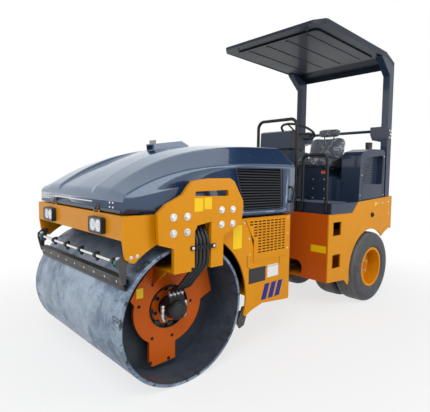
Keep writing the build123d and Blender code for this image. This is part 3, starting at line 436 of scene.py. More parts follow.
def prism(outline, axis, low, high):
    """A plate: a flat outline drawn in the two other axes, with its thickness along one axis."""
    outline = np.asarray(outline, float)
    count = len(outline)
    corners = np.concatenate([np.insert(outline, axis, level, axis=1) for level in (low, high)])
    ring = np.arange(count)
    after = (ring + 1) % count
    walls = np.stack([ring, after, after + count, ring + count], 1).tolist()
    return corners, walls + [ring[::-1].tolist(), (ring + count).tolist()]


def brick(x0, x1, y0, y1, z0, z1):
    """A box between six faces, as corners and faces."""
    return prism([(x0, y0), (x1, y0), (x1, y1), (x0, y1)], 2, z0, z1)


def rounded(corners, radius, steps=5):
    """A flat outline with eased corners. Each is the quadratic curve (1-t)^2 a + 2t(1-t) b + t^2 c
    from a point one radius before the corner b to a point one radius after it."""
    p = np.asarray(corners, float)
    radius = np.broadcast_to(radius, len(p))[:, None]
    back, ahead = np.roll(p, 1, 0) - p, np.roll(p, -1, 0) - p
    start = p + back / np.linalg.norm(back, axis=1)[:, None] * radius
    end = p + ahead / np.linalg.norm(ahead, axis=1)[:, None] * radius
    t = np.linspace(0, 1, steps)[None, :, None]
    start, middle, end = start[:, None], p[:, None], end[:, None]
    return ((1 - t) ** 2 * start + 2 * t * (1 - t) * middle + t ** 2 * end).reshape(-1, 2)


def filled(outer, *holes):
    """A flat face with holes, from rings of corners in space, cut into triangles."""
    rings = [np.asarray(r, float) for r in (outer, *holes)]
    return np.concatenate(rings), [list(f) for f in tessellate_polygon([r.tolist() for r in rings])]


def spline(points, count=40):
    """A smooth path through points. Between b and c, with a before and d after them, it is half of
    2b + (c-a)t + (2a-5b+4c-d)t^2 + (3b-a-3c+d)t^3."""
    p = np.asarray(points, float)
    p = np.concatenate([[2 * p[0] - p[1]], p, [2 * p[-1] - p[-2]]])
    spans = len(p) - 3
    at = np.linspace(0, spans, count)
    i = np.minimum(at.astype(int), spans - 1)
    t = (at - i)[:, None]
    a, b, c, d = p[i], p[i + 1], p[i + 2], p[i + 3]
    return 0.5 * (2 * b + (c - a) * t + (2 * a - 5 * b + 4 * c - d) * t ** 2
                  + (3 * b - a - 3 * c + d) * t ** 3)


def ribbon(path, radius, sides=12, closed=False, flat=None):
    """A tube along a path of points: each ring lies across the path's local direction. The radius
    may change along the path, and flat gives another radius up and down."""
    path = np.asarray(path, float)
    ahead = np.roll(path, -1, 0) - np.roll(path, 1, 0)
    if not closed:
        ahead[0], ahead[-1] = path[1] - path[0], path[-1] - path[-2]
    ahead /= np.linalg.norm(ahead, axis=1)[:, None]
    up = np.tile((0.0, 0.0, 1.0), (len(path), 1))
    up[np.abs(ahead[:, 2]) > 0.95] = (1.0, 0.0, 0.0)
    side = np.cross(ahead, up)
    side /= np.linalg.norm(side, axis=1)[:, None]
    up = np.cross(side, ahead)
    angle = np.linspace(0, 2 * np.pi, sides, endpoint=False)
    wide = np.broadcast_to(radius, len(path))[:, None, None]
    high = np.broadcast_to(radius if flat is None else flat, len(path))[:, None, None]
    rings = (path[:, None, :] + np.cos(angle)[None, :, None] * side[:, None, :] * wide
             + np.sin(angle)[None, :, None] * up[:, None, :] * high)
    faces = grid_faces(len(path), sides, close_rows=closed, close_columns=True)
    if not closed:
        last = (len(path) - 1) * sides
        faces += [list(range(sides))[::-1], list(range(last, last + sides))]
    return rings.reshape(-1, 3), faces


def bead(start, end, radius=0.004, ripple=0.007):
    """A weld: a low tube whose radius swells and narrows along its length as a sine."""
    length = float(np.linalg.norm(np.subtract(end, start)))
    count = max(4, int(length / ripple * 3))
    share = np.linspace(0, 1, count)
    path = np.asarray(start, float) + share[:, None] * np.subtract(end, start)
    return ribbon(path, radius * (0.9 + 0.14 * np.sin(share * length / ripple * 2 * np.pi)), 7)


def screws(places, axis, radius, height, washer=1.35, sides=6):
    """Hexagon heads with a washer under each and an eased top, at places on a face."""
    plate = [(radius * washer, 0.0), (radius * washer, height * 0.22), (radius * 0.9, height * 0.26)]
    head = [(radius, height * 0.20), (radius, height * 0.86), (radius * 0.82, height)]
    return joined(*[turned(place, axis, shape, turns) for place in places
                    for shape, turns in ((plate, 20), (head, sides))])


def buttons(places, axis, radius, height):
    """Domed round heads: a quarter circle turned about each place."""
    bend = np.linspace(0, np.pi / 2, 5)[:-1]
    dome = np.stack([radius * np.cos(bend), height * np.sin(bend)], 1)
    return joined(*[turned(place, axis, dome, 16) for place in places])


def card(x0, x1, z0, z1, radius):
    """A rectangle's outline with eased corners."""
    return rounded([(x0, z0), (x1, z0), (x1, z1), (x0, z1)], radius)


def on_face(outline, axis, level):
    """A flat outline as places in space, at a level along one axis."""
    return np.insert(outline, axis, level, axis=1)


def add_piece(name, parts, body, finish, **settings):
    """A finished piece from several parts."""
    return add_mesh(name, *joined(*parts), body, finish, LOOK_TABLE[finish][0], **settings)


def add_pair(name, parts, body, finish, **settings):
    """One piece from several parts and their mirror image on the other side."""
    return add_piece(name, [mirrored(joined(*parts))], body, finish, **settings)


def colour_setting(name, description, default):
    return bpy.props.FloatVectorProperty(name=name, description=description, default=default,
                                         size=3, min=0.0, max=1.0, subtype="COLOR_GAMMA")


def length_setting(name, description, default):
    return bpy.props.FloatProperty(name=name, description=description, default=default,
                                   min=0.0, unit="LENGTH")


class RollerColours(bpy.types.PropertyGroup):
    orange: colour_setting("Orange", "Paint of the frames, yokes and rims", (0.86, 0.56, 0.0))
    # shaded is painted shade: a deeper, redder copy of the orange for the faces across the machine, which
    # lie in shade
    shaded: colour_setting("Deep orange", "Paint of the faces across the machine", (0.80, 0.36, 0.05))
    blue: colour_setting("Dark blue", "Paint of the platform, posts and roof", (0.175, 0.225, 0.30))
    hood: colour_setting("Hood blue", "Gloss paint of the hood", (0.165, 0.225, 0.325))
    black: colour_setting("Black", "Paint of the small steel pieces", (0.10, 0.105, 0.12))
    yellow: colour_setting("Plate yellow", "Blank plates on the frames", (0.97, 0.80, 0.05))
    vinyl: colour_setting("Seat vinyl", "Covering of the seat under its film", (0.15, 0.17, 0.21))
    bars: colour_setting("Bar blue", "Slanted bars on the side panels", (0.09, 0.13, 0.50))


class RollerSizes(bpy.types.PropertyGroup):
    bolt: length_setting("Yoke bolt", "Radius of the heads on the yokes", 0.0150)
    small_bolt: length_setting("Small bolt", "Radius of the heads on covers and panels", 0.0060)
    nut: length_setting("Wheel nut", "Radius of the nuts on the rims", 0.0120)
    grip: length_setting("Steering wheel grip", "Thickness radius of the steering wheel's rim", 0.0120)
    plate: length_setting("Plate thickness", "Thickness of the blank plates", 0.0012)
    film: length_setting("Film gap", "How far the clear wrap stands off the seat", 0.010)
    slat: length_setting("Slat thickness", "Thickness of the louvre slats", 0.0022)


class HoodShape(bpy.types.PropertyGroup):
    lip_crease: length_setting("Lip crease", "Height of the side crease over the deck at the lip", 0.098)
    crease_rise: length_setting("Crease rise", "How far the crease climbs to the rear", 0.212)
    crease_run: length_setting("Crease run", "Length over which the crease climbs", 0.330)
    lip_shoulder: length_setting("Lip shoulder", "Height of the shoulder over the deck at the lip", 0.120)
    shoulder_rise: length_setting("Shoulder rise", "How far the shoulder climbs to the rear", 0.342)
    shoulder_run: length_setting("Shoulder run", "Length over which the shoulder climbs", 0.420)
    shoulder_inset: length_setting("Shoulder inset", "From the hood's side in to its shoulder", 0.167)
    ridge_rise: length_setting("Ridge rise", "How far the ridges stand over the shoulders", 0.020)
    ridge_step: length_setting("Ridge step", "Width of the drop from a ridge into the valley", 0.018)
    valley: length_setting("Valley depth", "Depth of the valley between the ridges", 0.026)
    valley_length: length_setting("Valley length", "How far back the valley reaches", 0.560)
    lip_round: length_setting("Lip rounding", "Radius of the hood's front edge", 0.022)
    edge_round: length_setting("Edge rounding", "Radius of the crease and the rear edge", 0.009)
    wall: length_setting("Hood wall", "Thickness of the hood's skin", 0.006)


# Each finish by name: the CAD slot that it belongs to, and what makes it from the panel's colours
LOOK_TABLE = {
    "orange": ("orange_paint", lambda c: paint_look("orange_enamel", c.orange)),
    # yoke: orange outside, with painted shade on the inner plates
    "yoke": ("orange_paint", lambda c: paint_look("yoke_enamel", c.orange, inner=c.shaded)),
    # painted shade: the shaded orange, for the forward faces, drum hubs, mount rings, hub caps and welds
    # there
    "shaded": ("orange_paint", lambda c: paint_look("deep_orange_enamel", c.shaded)),
    "yellow": ("orange_paint", lambda c: paint_look("plate_yellow", c.yellow, 0.92, coat=0.3, dirt=0.0)),
    "white": ("orange_paint", lambda c: paint_look("plate_white", (0.90, 0.90, 0.89), 0.92, coat=0.3,
                                                   dirt=0.0)),
    "blue": ("dark_blue_paint", lambda c: paint_look("dark_blue_enamel", c.blue, 0.78, gloss=0.32,
                                                     coat=0.35, dirt=0.05)),
    "roof": ("dark_blue_paint", lambda c: paint_look("roof_blue_enamel", darker(c.blue, 0.72), 0.78,
                                                     gloss=0.42, coat=0.15, dirt=0.0)),
    "hood": ("dark_blue_paint", lambda c: hood_look("hood_gloss_blue", c.hood)),
    "bars": ("dark_blue_paint", lambda c: paint_look("bar_blue", c.bars, 0.85, coat=0.3, dirt=0.0)),
    "steel": ("drum_steel", lambda c: drum_look("rolled_drum_steel")),
    "black": ("black_metal", lambda c: paint_look("black_enamel", c.black, gloss=0.40, coat=0.2, dirt=0.3)),
    "cast": ("black_metal", lambda c: metal_look("cast_block", (0.16, 0.165, 0.17), 0.55, 0.3, wear=0.5)),
    "holder": ("black_metal", lambda c: metal_look("blade_holder", (0.27, 0.26, 0.25), 0.5, 0.2, wear=0.5)),
    # dark: plain black for seams, ribs and grille bars, and painted shade for the sheets behind the louvres
    # and panels and in the vent's slots
    "dark": ("black_metal", lambda c: plastic_look("shadow_black", (0.03, 0.03, 0.034), rough=0.8)),
    "chrome": ("chrome_rod", lambda c: metal_look("hard_chrome", (0.86, 0.87, 0.88), 0.10, wear=0.05)),
    "mirror": ("chrome_rod", lambda c: metal_look("lamp_reflector", (0.95, 0.96, 0.98), 0.16, wear=0.02)),
    "zinc": ("zinc_bolts", lambda c: metal_look("bright_zinc", (0.80, 0.80, 0.80), 0.34, 0.85, wear=0.25)),
    "plastic": ("black_plastic", lambda c: plastic_look("black_moulding", (0.085, 0.09, 0.10))),
    "louvre": ("black_plastic", lambda c: plastic_look("louvre_moulding", (0.13, 0.14, 0.165), 0.38,
                                                       wear=0.12)),
    "grip": ("black_plastic", lambda c: plastic_look("grip_foam", (0.07, 0.07, 0.08), 0.6, grain=500.0)),
    "tap": ("black_plastic", lambda c: plastic_look("tap_green", (0.05, 0.36, 0.32), 0.4, wear=0.1)),
    "hose": ("hose_rubber", lambda c: plastic_look("hose_rubber", (0.07, 0.07, 0.08), 0.42, grain=1400.0)),
    "mat": ("hose_rubber", lambda c: plastic_look("deck_mat", (0.34, 0.38, 0.44), 0.62, 260.0, 0.001)),
    "tyre": ("tyre_rubber", lambda c: tyre_look("smooth_tyre_rubber")),
    "glass": ("lamp_glass", lambda c: glass_look("lamp_lens", alpha=0.35)),
    "red": ("lamp_glass", lambda c: glass_look("red_lens", (0.75, 0.05, 0.04), 0.95)),
    "amber": ("lamp_glass", lambda c: glass_look("amber_lens", (0.95, 0.42, 0.05), 0.95)),
    "film": ("lamp_glass", lambda c: film_look("clear_film")),
    "vinyl": ("seat_vinyl", lambda c: vinyl_look("seat_vinyl", c.vinyl)),
}
# The finish of each CAD slot, and of the nodes that differ from their slot
SLOT_FINISH = {
    "orange_paint": "orange", "dark_blue_paint": "blue", "drum_steel": "steel", "black_metal": "black",
    "chrome_rod": "chrome", "zinc_bolts": "zinc", "black_plastic": "plastic", "hose_rubber": "hose",
    "tyre_rubber": "tyre", "lamp_glass": "glass", "seat_vinyl": "vinyl",
}
# rear_front_plate and drum_hubs take the shaded orange, which is painted shade
NODE_FINISH = {"engine_block": "cast", "rear_front_plate": "shaded", "roof": "roof", "scrapers": "holder",
               "hood_scoop": "hood", "drum_hubs": "shaded", "drum_yokes": "yoke"}
LOOKS = {}


def look(name):
    """A finish by name, made once from the colours in the panel."""
    if name not in LOOKS:
        LOOKS[name] = LOOK_TABLE[name][1](bpy.context.scene.roller_colours)
    return LOOKS[name]


class FinishFrame(bpy.types.Operator):
    """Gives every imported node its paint, steel, rubber or glass"""

    bl_idname = "roller.finish_frame"
    bl_label = "Finish the frame"

    def execute(self, context):
        slots = {part["node"]: part["material_slot"] for part in frame["record"]["subparts"]}
        for name, node in NODES.items():
            node.data.materials.clear()
            node.data.materials.append(look(NODE_FINISH.get(name, SLOT_FINISH[slots[name]])))
        return {"FINISHED"}


class AddHood(bpy.types.Operator):
    """Adds the hood's smooth skin with its ridges and valley, its hinges, lip seam and bolts"""

    bl_idname = "roller.add_hood"
    bl_label = "Add hood"

    def execute(self, context):
        shape = context.scene.roller_hood
        skin = add_piece("hood_skin", self.skin(shape), "hood", "hood", crease=50.0)
        wall = skin.modifiers.new("wall", "SOLIDIFY")
        wall.thickness, wall.offset = shape.wall, -1.0
        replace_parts(skin, "hood_shell")
        add_piece("hood_hinges", self.hinges(), "hood", "black", smooth=False, bevel=0.0008)
        seam = prism(card(-0.345, 0.255, DECK + 0.052, DECK + 0.058, 0.0025), 0,
                     HOOD_FRONT - 0.001, HOOD_FRONT + 0.0015)
        add_piece("lip_seam", [seam], "hood", "chrome", smooth=False)
        ledge = [(HOOD_FRONT - 0.002, DECK + 0.010), (HOOD_FRONT + 0.004, DECK + 0.010),
                 (HOOD_FRONT + 0.004, DECK + 0.026), (HOOD_FRONT - 0.002, DECK + 0.030)]
        spans = ((-0.60, -0.365), (-0.295, 0.295), (0.365, 0.60))
        add_piece("lip_ledge", [prism(ledge, 1, *span) for span in spans], "hood", "blue",
                  smooth=False, bevel=0.0015)
        spots = [(HOOD_FRONT, side * y, DECK + z) for side in (1, -1)
                 for y in (0.474, 0.512) for z in (0.060, 0.036)]
        add_piece("lip_bolts", [buttons(spots, AHEAD, 0.0062, 0.004)], "hood", "zinc")
        return {"FINISHED"}

    def height(self, shape, x, a):
        """The hood's height at a place along it and a distance a from its middle line. The crease and
        the shoulder climb as 1 - e^(-distance/run) from the lip; between the side and the shoulder
        the height goes straight from one to the other, then rises to the ridge, drops into the valley
        and crowns a little in the middle."""
        gone = HOOD_FRONT - x
        back = gone / (HOOD_FRONT - HOOD_REAR)
        crease = DECK + shape.lip_crease + shape.crease_rise * (1 - np.exp(-gone / shape.crease_run))
        top = (DECK + shape.lip_shoulder - 0.008 * back ** 4
               + shape.shoulder_rise * (1 - np.exp(-gone / shape.shoulder_run)))
        shoulder = HOOD_HALF - shape.shoulder_inset
        ridge = 0.262 - 0.072 * np.minimum(1, back * 1.4)
        rise = shape.ridge_rise * (0.4 + 0.6 * np.minimum(1, back * 4))
        reach = np.maximum(0, 1 - (gone / shape.valley_length) ** 3)
        dip = shape.valley * reach * (0.5 + 0.5 * np.minimum(1, back * 5))
        foot = ridge - shape.ridge_step
        side = crease + (top - crease) * (HOOD_HALF - a) / shape.shoulder_inset
        slope = top + rise * (shoulder - a) / (shoulder - ridge)
        drop = top + rise - dip * (ridge - a) / shape.ridge_step
        floor = top + rise - dip + 0.004 * (1 - a / foot)
        return np.where(a > shoulder, side, np.where(a > ridge, slope, np.where(a > foot, drop, floor)))

    def eased(self, shape, x, a, radius=0.020):
        """The height averaged over a short way across the hood, which rounds its lines."""
        reach = np.minimum(radius, HOOD_HALF - a)
        shares = np.linspace(-1, 1, 15)
        weights = 1 - shares ** 2 + 0.02
        total = sum(w * self.height(shape, x, np.abs(a + s * reach)) for s, w in zip(shares, weights))
        return total / weights.sum()

    def skin(self, shape):
        """The top as a grid of stations along the hood and places across it, with a round lip where it
        drops by r - r sin t over the first r - r cos t, eased side edges, and flat side, front and
        rear walls. The side walls are cut out for the louvres."""
        turn = np.linspace(0, np.pi / 2, 9)[:-1]
        stations, columns = 84, 181
        length = HOOD_FRONT - HOOD_REAR
        lip, edge = shape.lip_round, shape.edge_round
        body = lip + (length - lip - edge) * np.linspace(0, 1, stations) ** 1.15
        flat, back = np.zeros(stations), turn[::-1]
        along = np.concatenate([lip * (1 - np.cos(turn)), body, length - edge * (1 - np.cos(back))])
        fall = np.concatenate([lip * (1 - np.sin(turn)), flat, edge * (1 - np.sin(back))])
        x = (HOOD_FRONT - along)[:, None]
        y = np.linspace(-(HOOD_HALF - edge), HOOD_HALF - edge, columns)[None, :]
        z = self.eased(shape, x, np.abs(y)) - fall[:, None]
        corner = self.height(shape, x, HOOD_HALF) - fall[:, None]
        t = np.linspace(0, 1, 6)[None, 1:]
        over_y = (1 - t) ** 2 * (HOOD_HALF - edge) + 2 * t * (1 - t) * HOOD_HALF + t ** 2 * HOOD_HALF
        over_z = (1 - t) ** 2 * z[:, -1:] + 2 * t * (1 - t) * corner + t ** 2 * (corner - edge)
        ys = np.concatenate([-over_y[:, ::-1], y, over_y], 1) + 0 * x
        zs = np.concatenate([over_z[:, ::-1], z, over_z], 1)
        grid = np.stack([x + 0 * ys, ys, zs], 2)
        step, low = BAY_REAR + 0.502, DECK + 0.008
        foot = [(HOOD_REAR, HOOD_LOW), (step, HOOD_LOW), (step, low), (HOOD_FRONT, low)]
        side = np.concatenate([grid[:, -1], on_face(foot, 1, HOOD_HALF)])
        front = np.concatenate([grid[0], [(HOOD_FRONT, s * HOOD_HALF, low) for s in (1, -1)]])
        rear = np.concatenate([grid[-1], [(HOOD_REAR, s * HOOD_HALF, HOOD_LOW) for s in (1, -1)]])
        wall = filled(side, on_face(window_outline(0.0), 1, HOOD_HALF))
        return [(grid.reshape(-1, 3), grid_faces(*ys.shape)), mirrored(wall), filled(front), filled(rear)]

    def hinges(self):
        """A knuckle round each hinge pin and the leaf that carries it."""
        x, z, half, leaf = HOOD_FRONT + 0.008, DECK + 0.010, 0.024, HOOD_FRONT + 0.003
        parts = []
        for y in (-0.330, 0.330):
            parts += [turned((x, y, z), ACROSS, [(0.007, -half), (0.007, half)], 20),
                      brick(HOOD_FRONT - 0.001, leaf, y - half, y + half, z, z + 0.036),
                      buttons([(leaf, y + d, z + 0.022) for d in (-0.013, 0.013)], AHEAD, 0.004, 0.0025)]
        return parts


def window_outline(grow):
    """The louvre window in the hood's side, in X and Z, grown or shrunk on all sides."""
    rear, low, high = WINDOW_REAR - grow, WINDOW_LOW - grow, WINDOW_HIGH + grow
    return rounded([(rear, low), (rear + 0.010, high), (rear + 0.470 + 2 * grow, high - 0.010),
                    (rear + 0.385 + 2 * grow, low)], 0.020)


class AddLouvres(bpy.types.Operator):
    """Adds the louvre slats, a black sheet of painted shade behind them and the window's rim, and the
    hood's grab handles
    """

    bl_idname = "roller.add_louvres"
    bl_label = "Add louvres"

    def execute(self, context):
        thick = context.scene.roller_sizes.slat
        count, outer, inner = 15, HOOD_HALF - 0.003, HOOD_HALF - 0.026
        tall = WINDOW_HIGH - WINDOW_LOW
        slats = []
        for place in range(count):
            z = WINDOW_LOW + 0.010 + place * (tall - 0.012) / count
            share = (z - WINDOW_LOW) / tall
            # A slat leans down and outwards and ends in a small rolled lip.
            lean = [(inner, z + 0.016), (inner, z + 0.016 - thick), (outer - 0.002, z - 0.001),
                    (outer, z - 0.003), (outer + 0.0015, z), (outer - 0.001, z + thick + 0.001)]
            slats.append(prism(lean, 0, WINDOW_REAR + 0.004 + 0.010 * share,
                               WINDOW_REAR + 0.381 + 0.083 * share))
        louvres = add_pair("louvre_slats", slats, "hood", "louvre", smooth=False)
        # painted shade: a black sheet behind the slats
        add_pair("louvre_backing", [prism(window_outline(0.006), 1, HOOD_HALF - 0.034, HOOD_HALF - 0.030)],
                 "hood", "dark", smooth=False)
        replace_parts(louvres, "hood_louvres")
        rim = on_face(window_outline(0.002), 1, HOOD_HALF + 0.0005)
        add_pair("window_rim", [ribbon(rim, 0.0035, 8, closed=True, flat=0.0035)], "hood", "blue")
        self.handles()
        low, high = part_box("hood_scoop")
        bars = [brick(high.x - 0.022, high.x - 0.019, y, y + 0.003, high.z - 0.047, high.z - 0.009)
                for y in np.linspace(low.y + 0.014, high.y - 0.016, 8)]
        add_piece("scoop_grille", bars, "hood", "dark", smooth=False)
        return {"FINISHED"}

    def handles(self):
        """A bent bar on two feet, a little way in front of the hood's rear edge."""
        x, y, top, foot = HOOD_REAR + 0.062, HOOD_HALF, 1.145, 1.035
        path = spline([(x, y, top), (x - 0.004, y + 0.024, 1.142), (x - 0.014, y + 0.033, 1.115),
                       (x - 0.018, y + 0.034, 1.090), (x - 0.014, y + 0.033, 1.064),
                       (x - 0.004, y + 0.024, 1.038), (x, y, foot)], 40)
        feet = [turned((x, y, z), ACROSS, [(0.013, 0.0), (0.013, 0.004), (0.009, 0.008)], 16)
                for z in (top, foot)]
        handles = add_pair("hood_grab_handles", [ribbon(path, 0.0075), *feet], "hood", "plastic")
        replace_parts(handles, "hood_handles")


class AddPanels(bpy.types.Operator):
    """Adds a black sheet of painted shade behind the perforated panels, their screws, the cover seams and
    the head's welds
    """

    bl_idname = "roller.add_panels"
    bl_label = "Add panels"

    def execute(self, context):
        small = context.scene.roller_sizes.small_bolt
        low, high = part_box("grille_panels")
        back = SIDE - 0.0125
        outline = [(low.x + 0.006, low.z + 0.006), (high.x - 0.06, low.z + 0.006), (high.x, low.z + 0.10),
                   (high.x, high.z), (low.x + 0.006, high.z)]
        # painted shade: a black sheet behind the perforation
        add_pair("panel_backing", [prism(outline, 1, back - 0.003, back)], "front_frame", "dark",
                 smooth=False)
        # The engine cover's seam: a groove line round the plain part under the perforation.
        x0, x1, top, foot = low.x + 0.090, high.x - 0.020, low.z + 0.046, low.z - 0.062
        line = rounded([(x0, top), (x0, foot + 0.004), (x1 - 0.06, foot), (x1, foot + 0.030), (x1, top)],
                       [0.001, 0.022, 0.030, 0.015, 0.001])[4:-4]
        add_pair("cover_seams", [ribbon(on_face(line, 1, SIDE + 0.0004), 0.0016, 6)], "front_frame", "dark")
        heads = [(0.226, SIDE + 0.006, z) for z in (0.802, 0.691, 0.921)]
        heads += [(x, SIDE, z) for x, z in ((0.618, 0.799), (0.608, 0.690), (0.660, 0.906))]
        add_pair("panel_screws", [buttons(heads, ACROSS, small, 0.004)], "front_frame", "zinc")
        corner = [(1.447, SIDE, 0.786), (1.414, SIDE, 0.790)]
        add_pair("corner_bolts", [screws(corner, ACROSS, 0.0075, 0.006)], "front_frame", "zinc",
                 smooth=False)
        seam = bead((HEAD - 0.004, SIDE - 0.006, DECK - 0.118), (HEAD - 0.004, SIDE - 0.006, DECK - 0.006))
        add_pair("head_welds", [seam], "front_frame", "orange")
        return {"FINISHED"}


class AddYokes(bpy.types.Operator):
    """Adds the yokes' bolts and washers, the hose clamps' bolts and ribs, and weld beads"""

    bl_idname = "roller.add_yokes"
    bl_label = "Add yokes"

    def execute(self, context):
        radius = context.scene.roller_sizes.bolt
        half = 0.044
        spots = [(x + i * half, YOKE, z + k * half) for x, z in
                 ((DRUM_X + 0.080, 0.940), (DRUM_X - 0.254, 0.966)) for i in (-1, 1) for k in (-1, 1)]
        washer = [(0.022, 0.0), (0.022, 0.0025), (0.020, 0.0034), (0.012, 0.0034)]
        head = [(radius, 0.003), (radius, 0.0098), (radius * 0.86, 0.0115)]
        bolts = [turned(spot, ACROSS, shape, turns) for spot in spots
                 for shape, turns in ((washer, 28), (head, 6))]
        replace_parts(add_pair("yoke_bolt_heads", bolts, "front_frame", "zinc", smooth=False), "yoke_bolts")
        low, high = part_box("hose_clamps")
        x, z, reach = (low.x + high.x) / 2, (low.z + high.z) / 2, (high.x - low.x) / 2
        bolts = [(x + s * (reach - 0.012), high.y, z) for s in (-1, 1)]
        add_pair("clamp_bolts", [screws(bolts, ACROSS, 0.0075, 0.0018, 1.2)], "front_frame", "zinc",
                 smooth=False)
        ribs = [brick(x - reach + 0.028, x + reach - 0.028, high.y - 0.0002, high.y + 0.0016,
                      z + dz - 0.001, z + dz + 0.001) for dz in (-0.007, 0.0, 0.007)]
        add_pair("clamp_ribs", ribs, "front_frame", "black", smooth=False)
        front, rear, foot = DRUM_X + 0.119, DRUM_X - 0.225, 0.690
        beads = [bead((rear + 0.004, INNER_PLATE + 0.002, foot - 0.022),
                      (front - 0.004, INNER_PLATE + 0.002, foot - 0.022), 0.0045),
                 bead((front + 0.002, INNER_PLATE + 0.03, foot - 0.010),
                      (front + 0.002, YOKE - 0.004, foot - 0.010))]
        add_pair("yoke_welds", beads, "front_frame", "orange")
        return {"FINISHED"}


class AddDrumEnds(bpy.types.Operator):
    """Adds what shows inside the drum's ends: the mount ring, its bolts, the motor's elbows and fittings"""

    bl_idname = "roller.add_drum_ends"
    bl_label = "Add drum ends"

    def execute(self, context):
        centre = (DRUM_X, MOUNT_FACE, DRUM_Z)
        ring = turned(centre, ACROSS, [(0.062, 0.0005), (0.108, 0.0005), (0.110, 0.003), (0.108, 0.006),
                                       (0.064, 0.006)], 72, closed=True)
        add_pair("mount_discs", [ring], "front_frame", "shaded")
        lugs = ring_places((DRUM_X, MOUNT_FACE + 0.006, DRUM_Z), ACROSS, 0.088, 6, 0.35)
        add_pair("mount_bolts", [screws(lugs, ACROSS, 0.0085, 0.009)], "front_frame", "black", smooth=False)
        pads = [turned(place, ACROSS, [(0.020, 0.0), (0.021, 0.010), (0.017, 0.014)], 20)
                for place in ring_places(centre, ACROSS, 0.118, 8, 0.12)]
        add_pair("rubber_mounts", pads, "front_frame", "hose")
        lip = turned((DRUM_X, INNER_PLATE, DRUM_Z), ACROSS,
                     [(0.1295, -0.020), (0.1335, -0.001), (0.1325, 0.0015), (0.1285, 0.0005),
                      (0.1275, -0.020)], 80, closed=True)
        add_pair("mount_rims", [lip], "front_frame", "black")
        spots = [(x, INNER_PLATE, z) for x, z in
                 ((1.306, 0.451), (1.219, 0.563), (0.952, 0.410), (1.086, 0.222), (1.222, 0.239),
                  (1.110, 0.083), (1.232, 0.092), (0.985, 0.545))]
        add_pair("yoke_plate_bolts", [screws(spots, ACROSS, 0.0075, 0.006)], "front_frame", "black",
                 smooth=False)
        nose = [(0.058, 0.086), (0.058, 0.070), (0.061, 0.068), (0.061, 0.060), (0.058, 0.058),
                (0.058, 0.046), (0.061, 0.044), (0.061, 0.036), (0.058, 0.034)]
        add_pair("motor_ribs", [turned(centre, ACROSS, nose, 48)], "front_frame", "black")
        end = (DRUM_X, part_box("drum_motors")[1].y, DRUM_Z)
        cap = turned(end, ACROSS, [(0.040, -0.004), (0.040, 0.001), (0.036, 0.003)], 40)
        heads = screws(ring_places(end, ACROSS, 0.046, 4, 0.6), ACROSS, 0.006, 0.006)
        add_pair("motor_caps", [cap, heads], "front_frame", "cast", smooth=False)
        self.fittings()
        return {"FINISHED"}

    def fittings(self):
        """The bright sleeves that the hoses end in, and an elbow on each side of the motor's ports."""
        y, top = 0.510, DRUM_Z + 0.079
        sleeve = [(0.0108, 0.0), (0.0122, 0.002), (0.0122, 0.010), (0.0114, 0.012), (0.0126, 0.014),
                  (0.0126, 0.030), (0.0116, 0.034)]
        collar = [(0.0105, 0.0), (0.013, 0.002), (0.013, 0.016), (0.0115, 0.018), (0.013, 0.020),
                  (0.013, 0.036), (0.0110, 0.040)]
        elbows, sleeves = [], []
        for place in (-1.5, -0.5, 0.5, 1.5):
            x = DRUM_X - 0.0125 + place * 0.026
            sleeves.append(turned((x, y, top), UP, sleeve, 20))
            elbows.append(turned((x, y, top - 0.011), UP, [(0.0125, 0.0), (0.0125, 0.011)], 6))
        for side in (-1, 1):
            x = DRUM_X + side * 0.078
            bend = spline([(DRUM_X + side * 0.050, y - 0.01, DRUM_Z - 0.060),
                           (x - side * 0.008, y, DRUM_Z - 0.058),
                           (x, y, DRUM_Z - 0.040), (x, y, DRUM_Z + 0.004)], 26)
            elbows += [ribbon(bend, 0.010, 14),
                       turned((x, y, DRUM_Z - 0.030), UP, [(0.014, 0.0), (0.014, 0.012)], 6)]
            sleeves.append(turned((x, y, DRUM_Z - 0.006), UP, collar, 20))
        add_pair("hose_elbows", elbows, "front_frame", "zinc", smooth=False)
        add_pair("hose_sleeves", sleeves, "front_frame", "zinc")


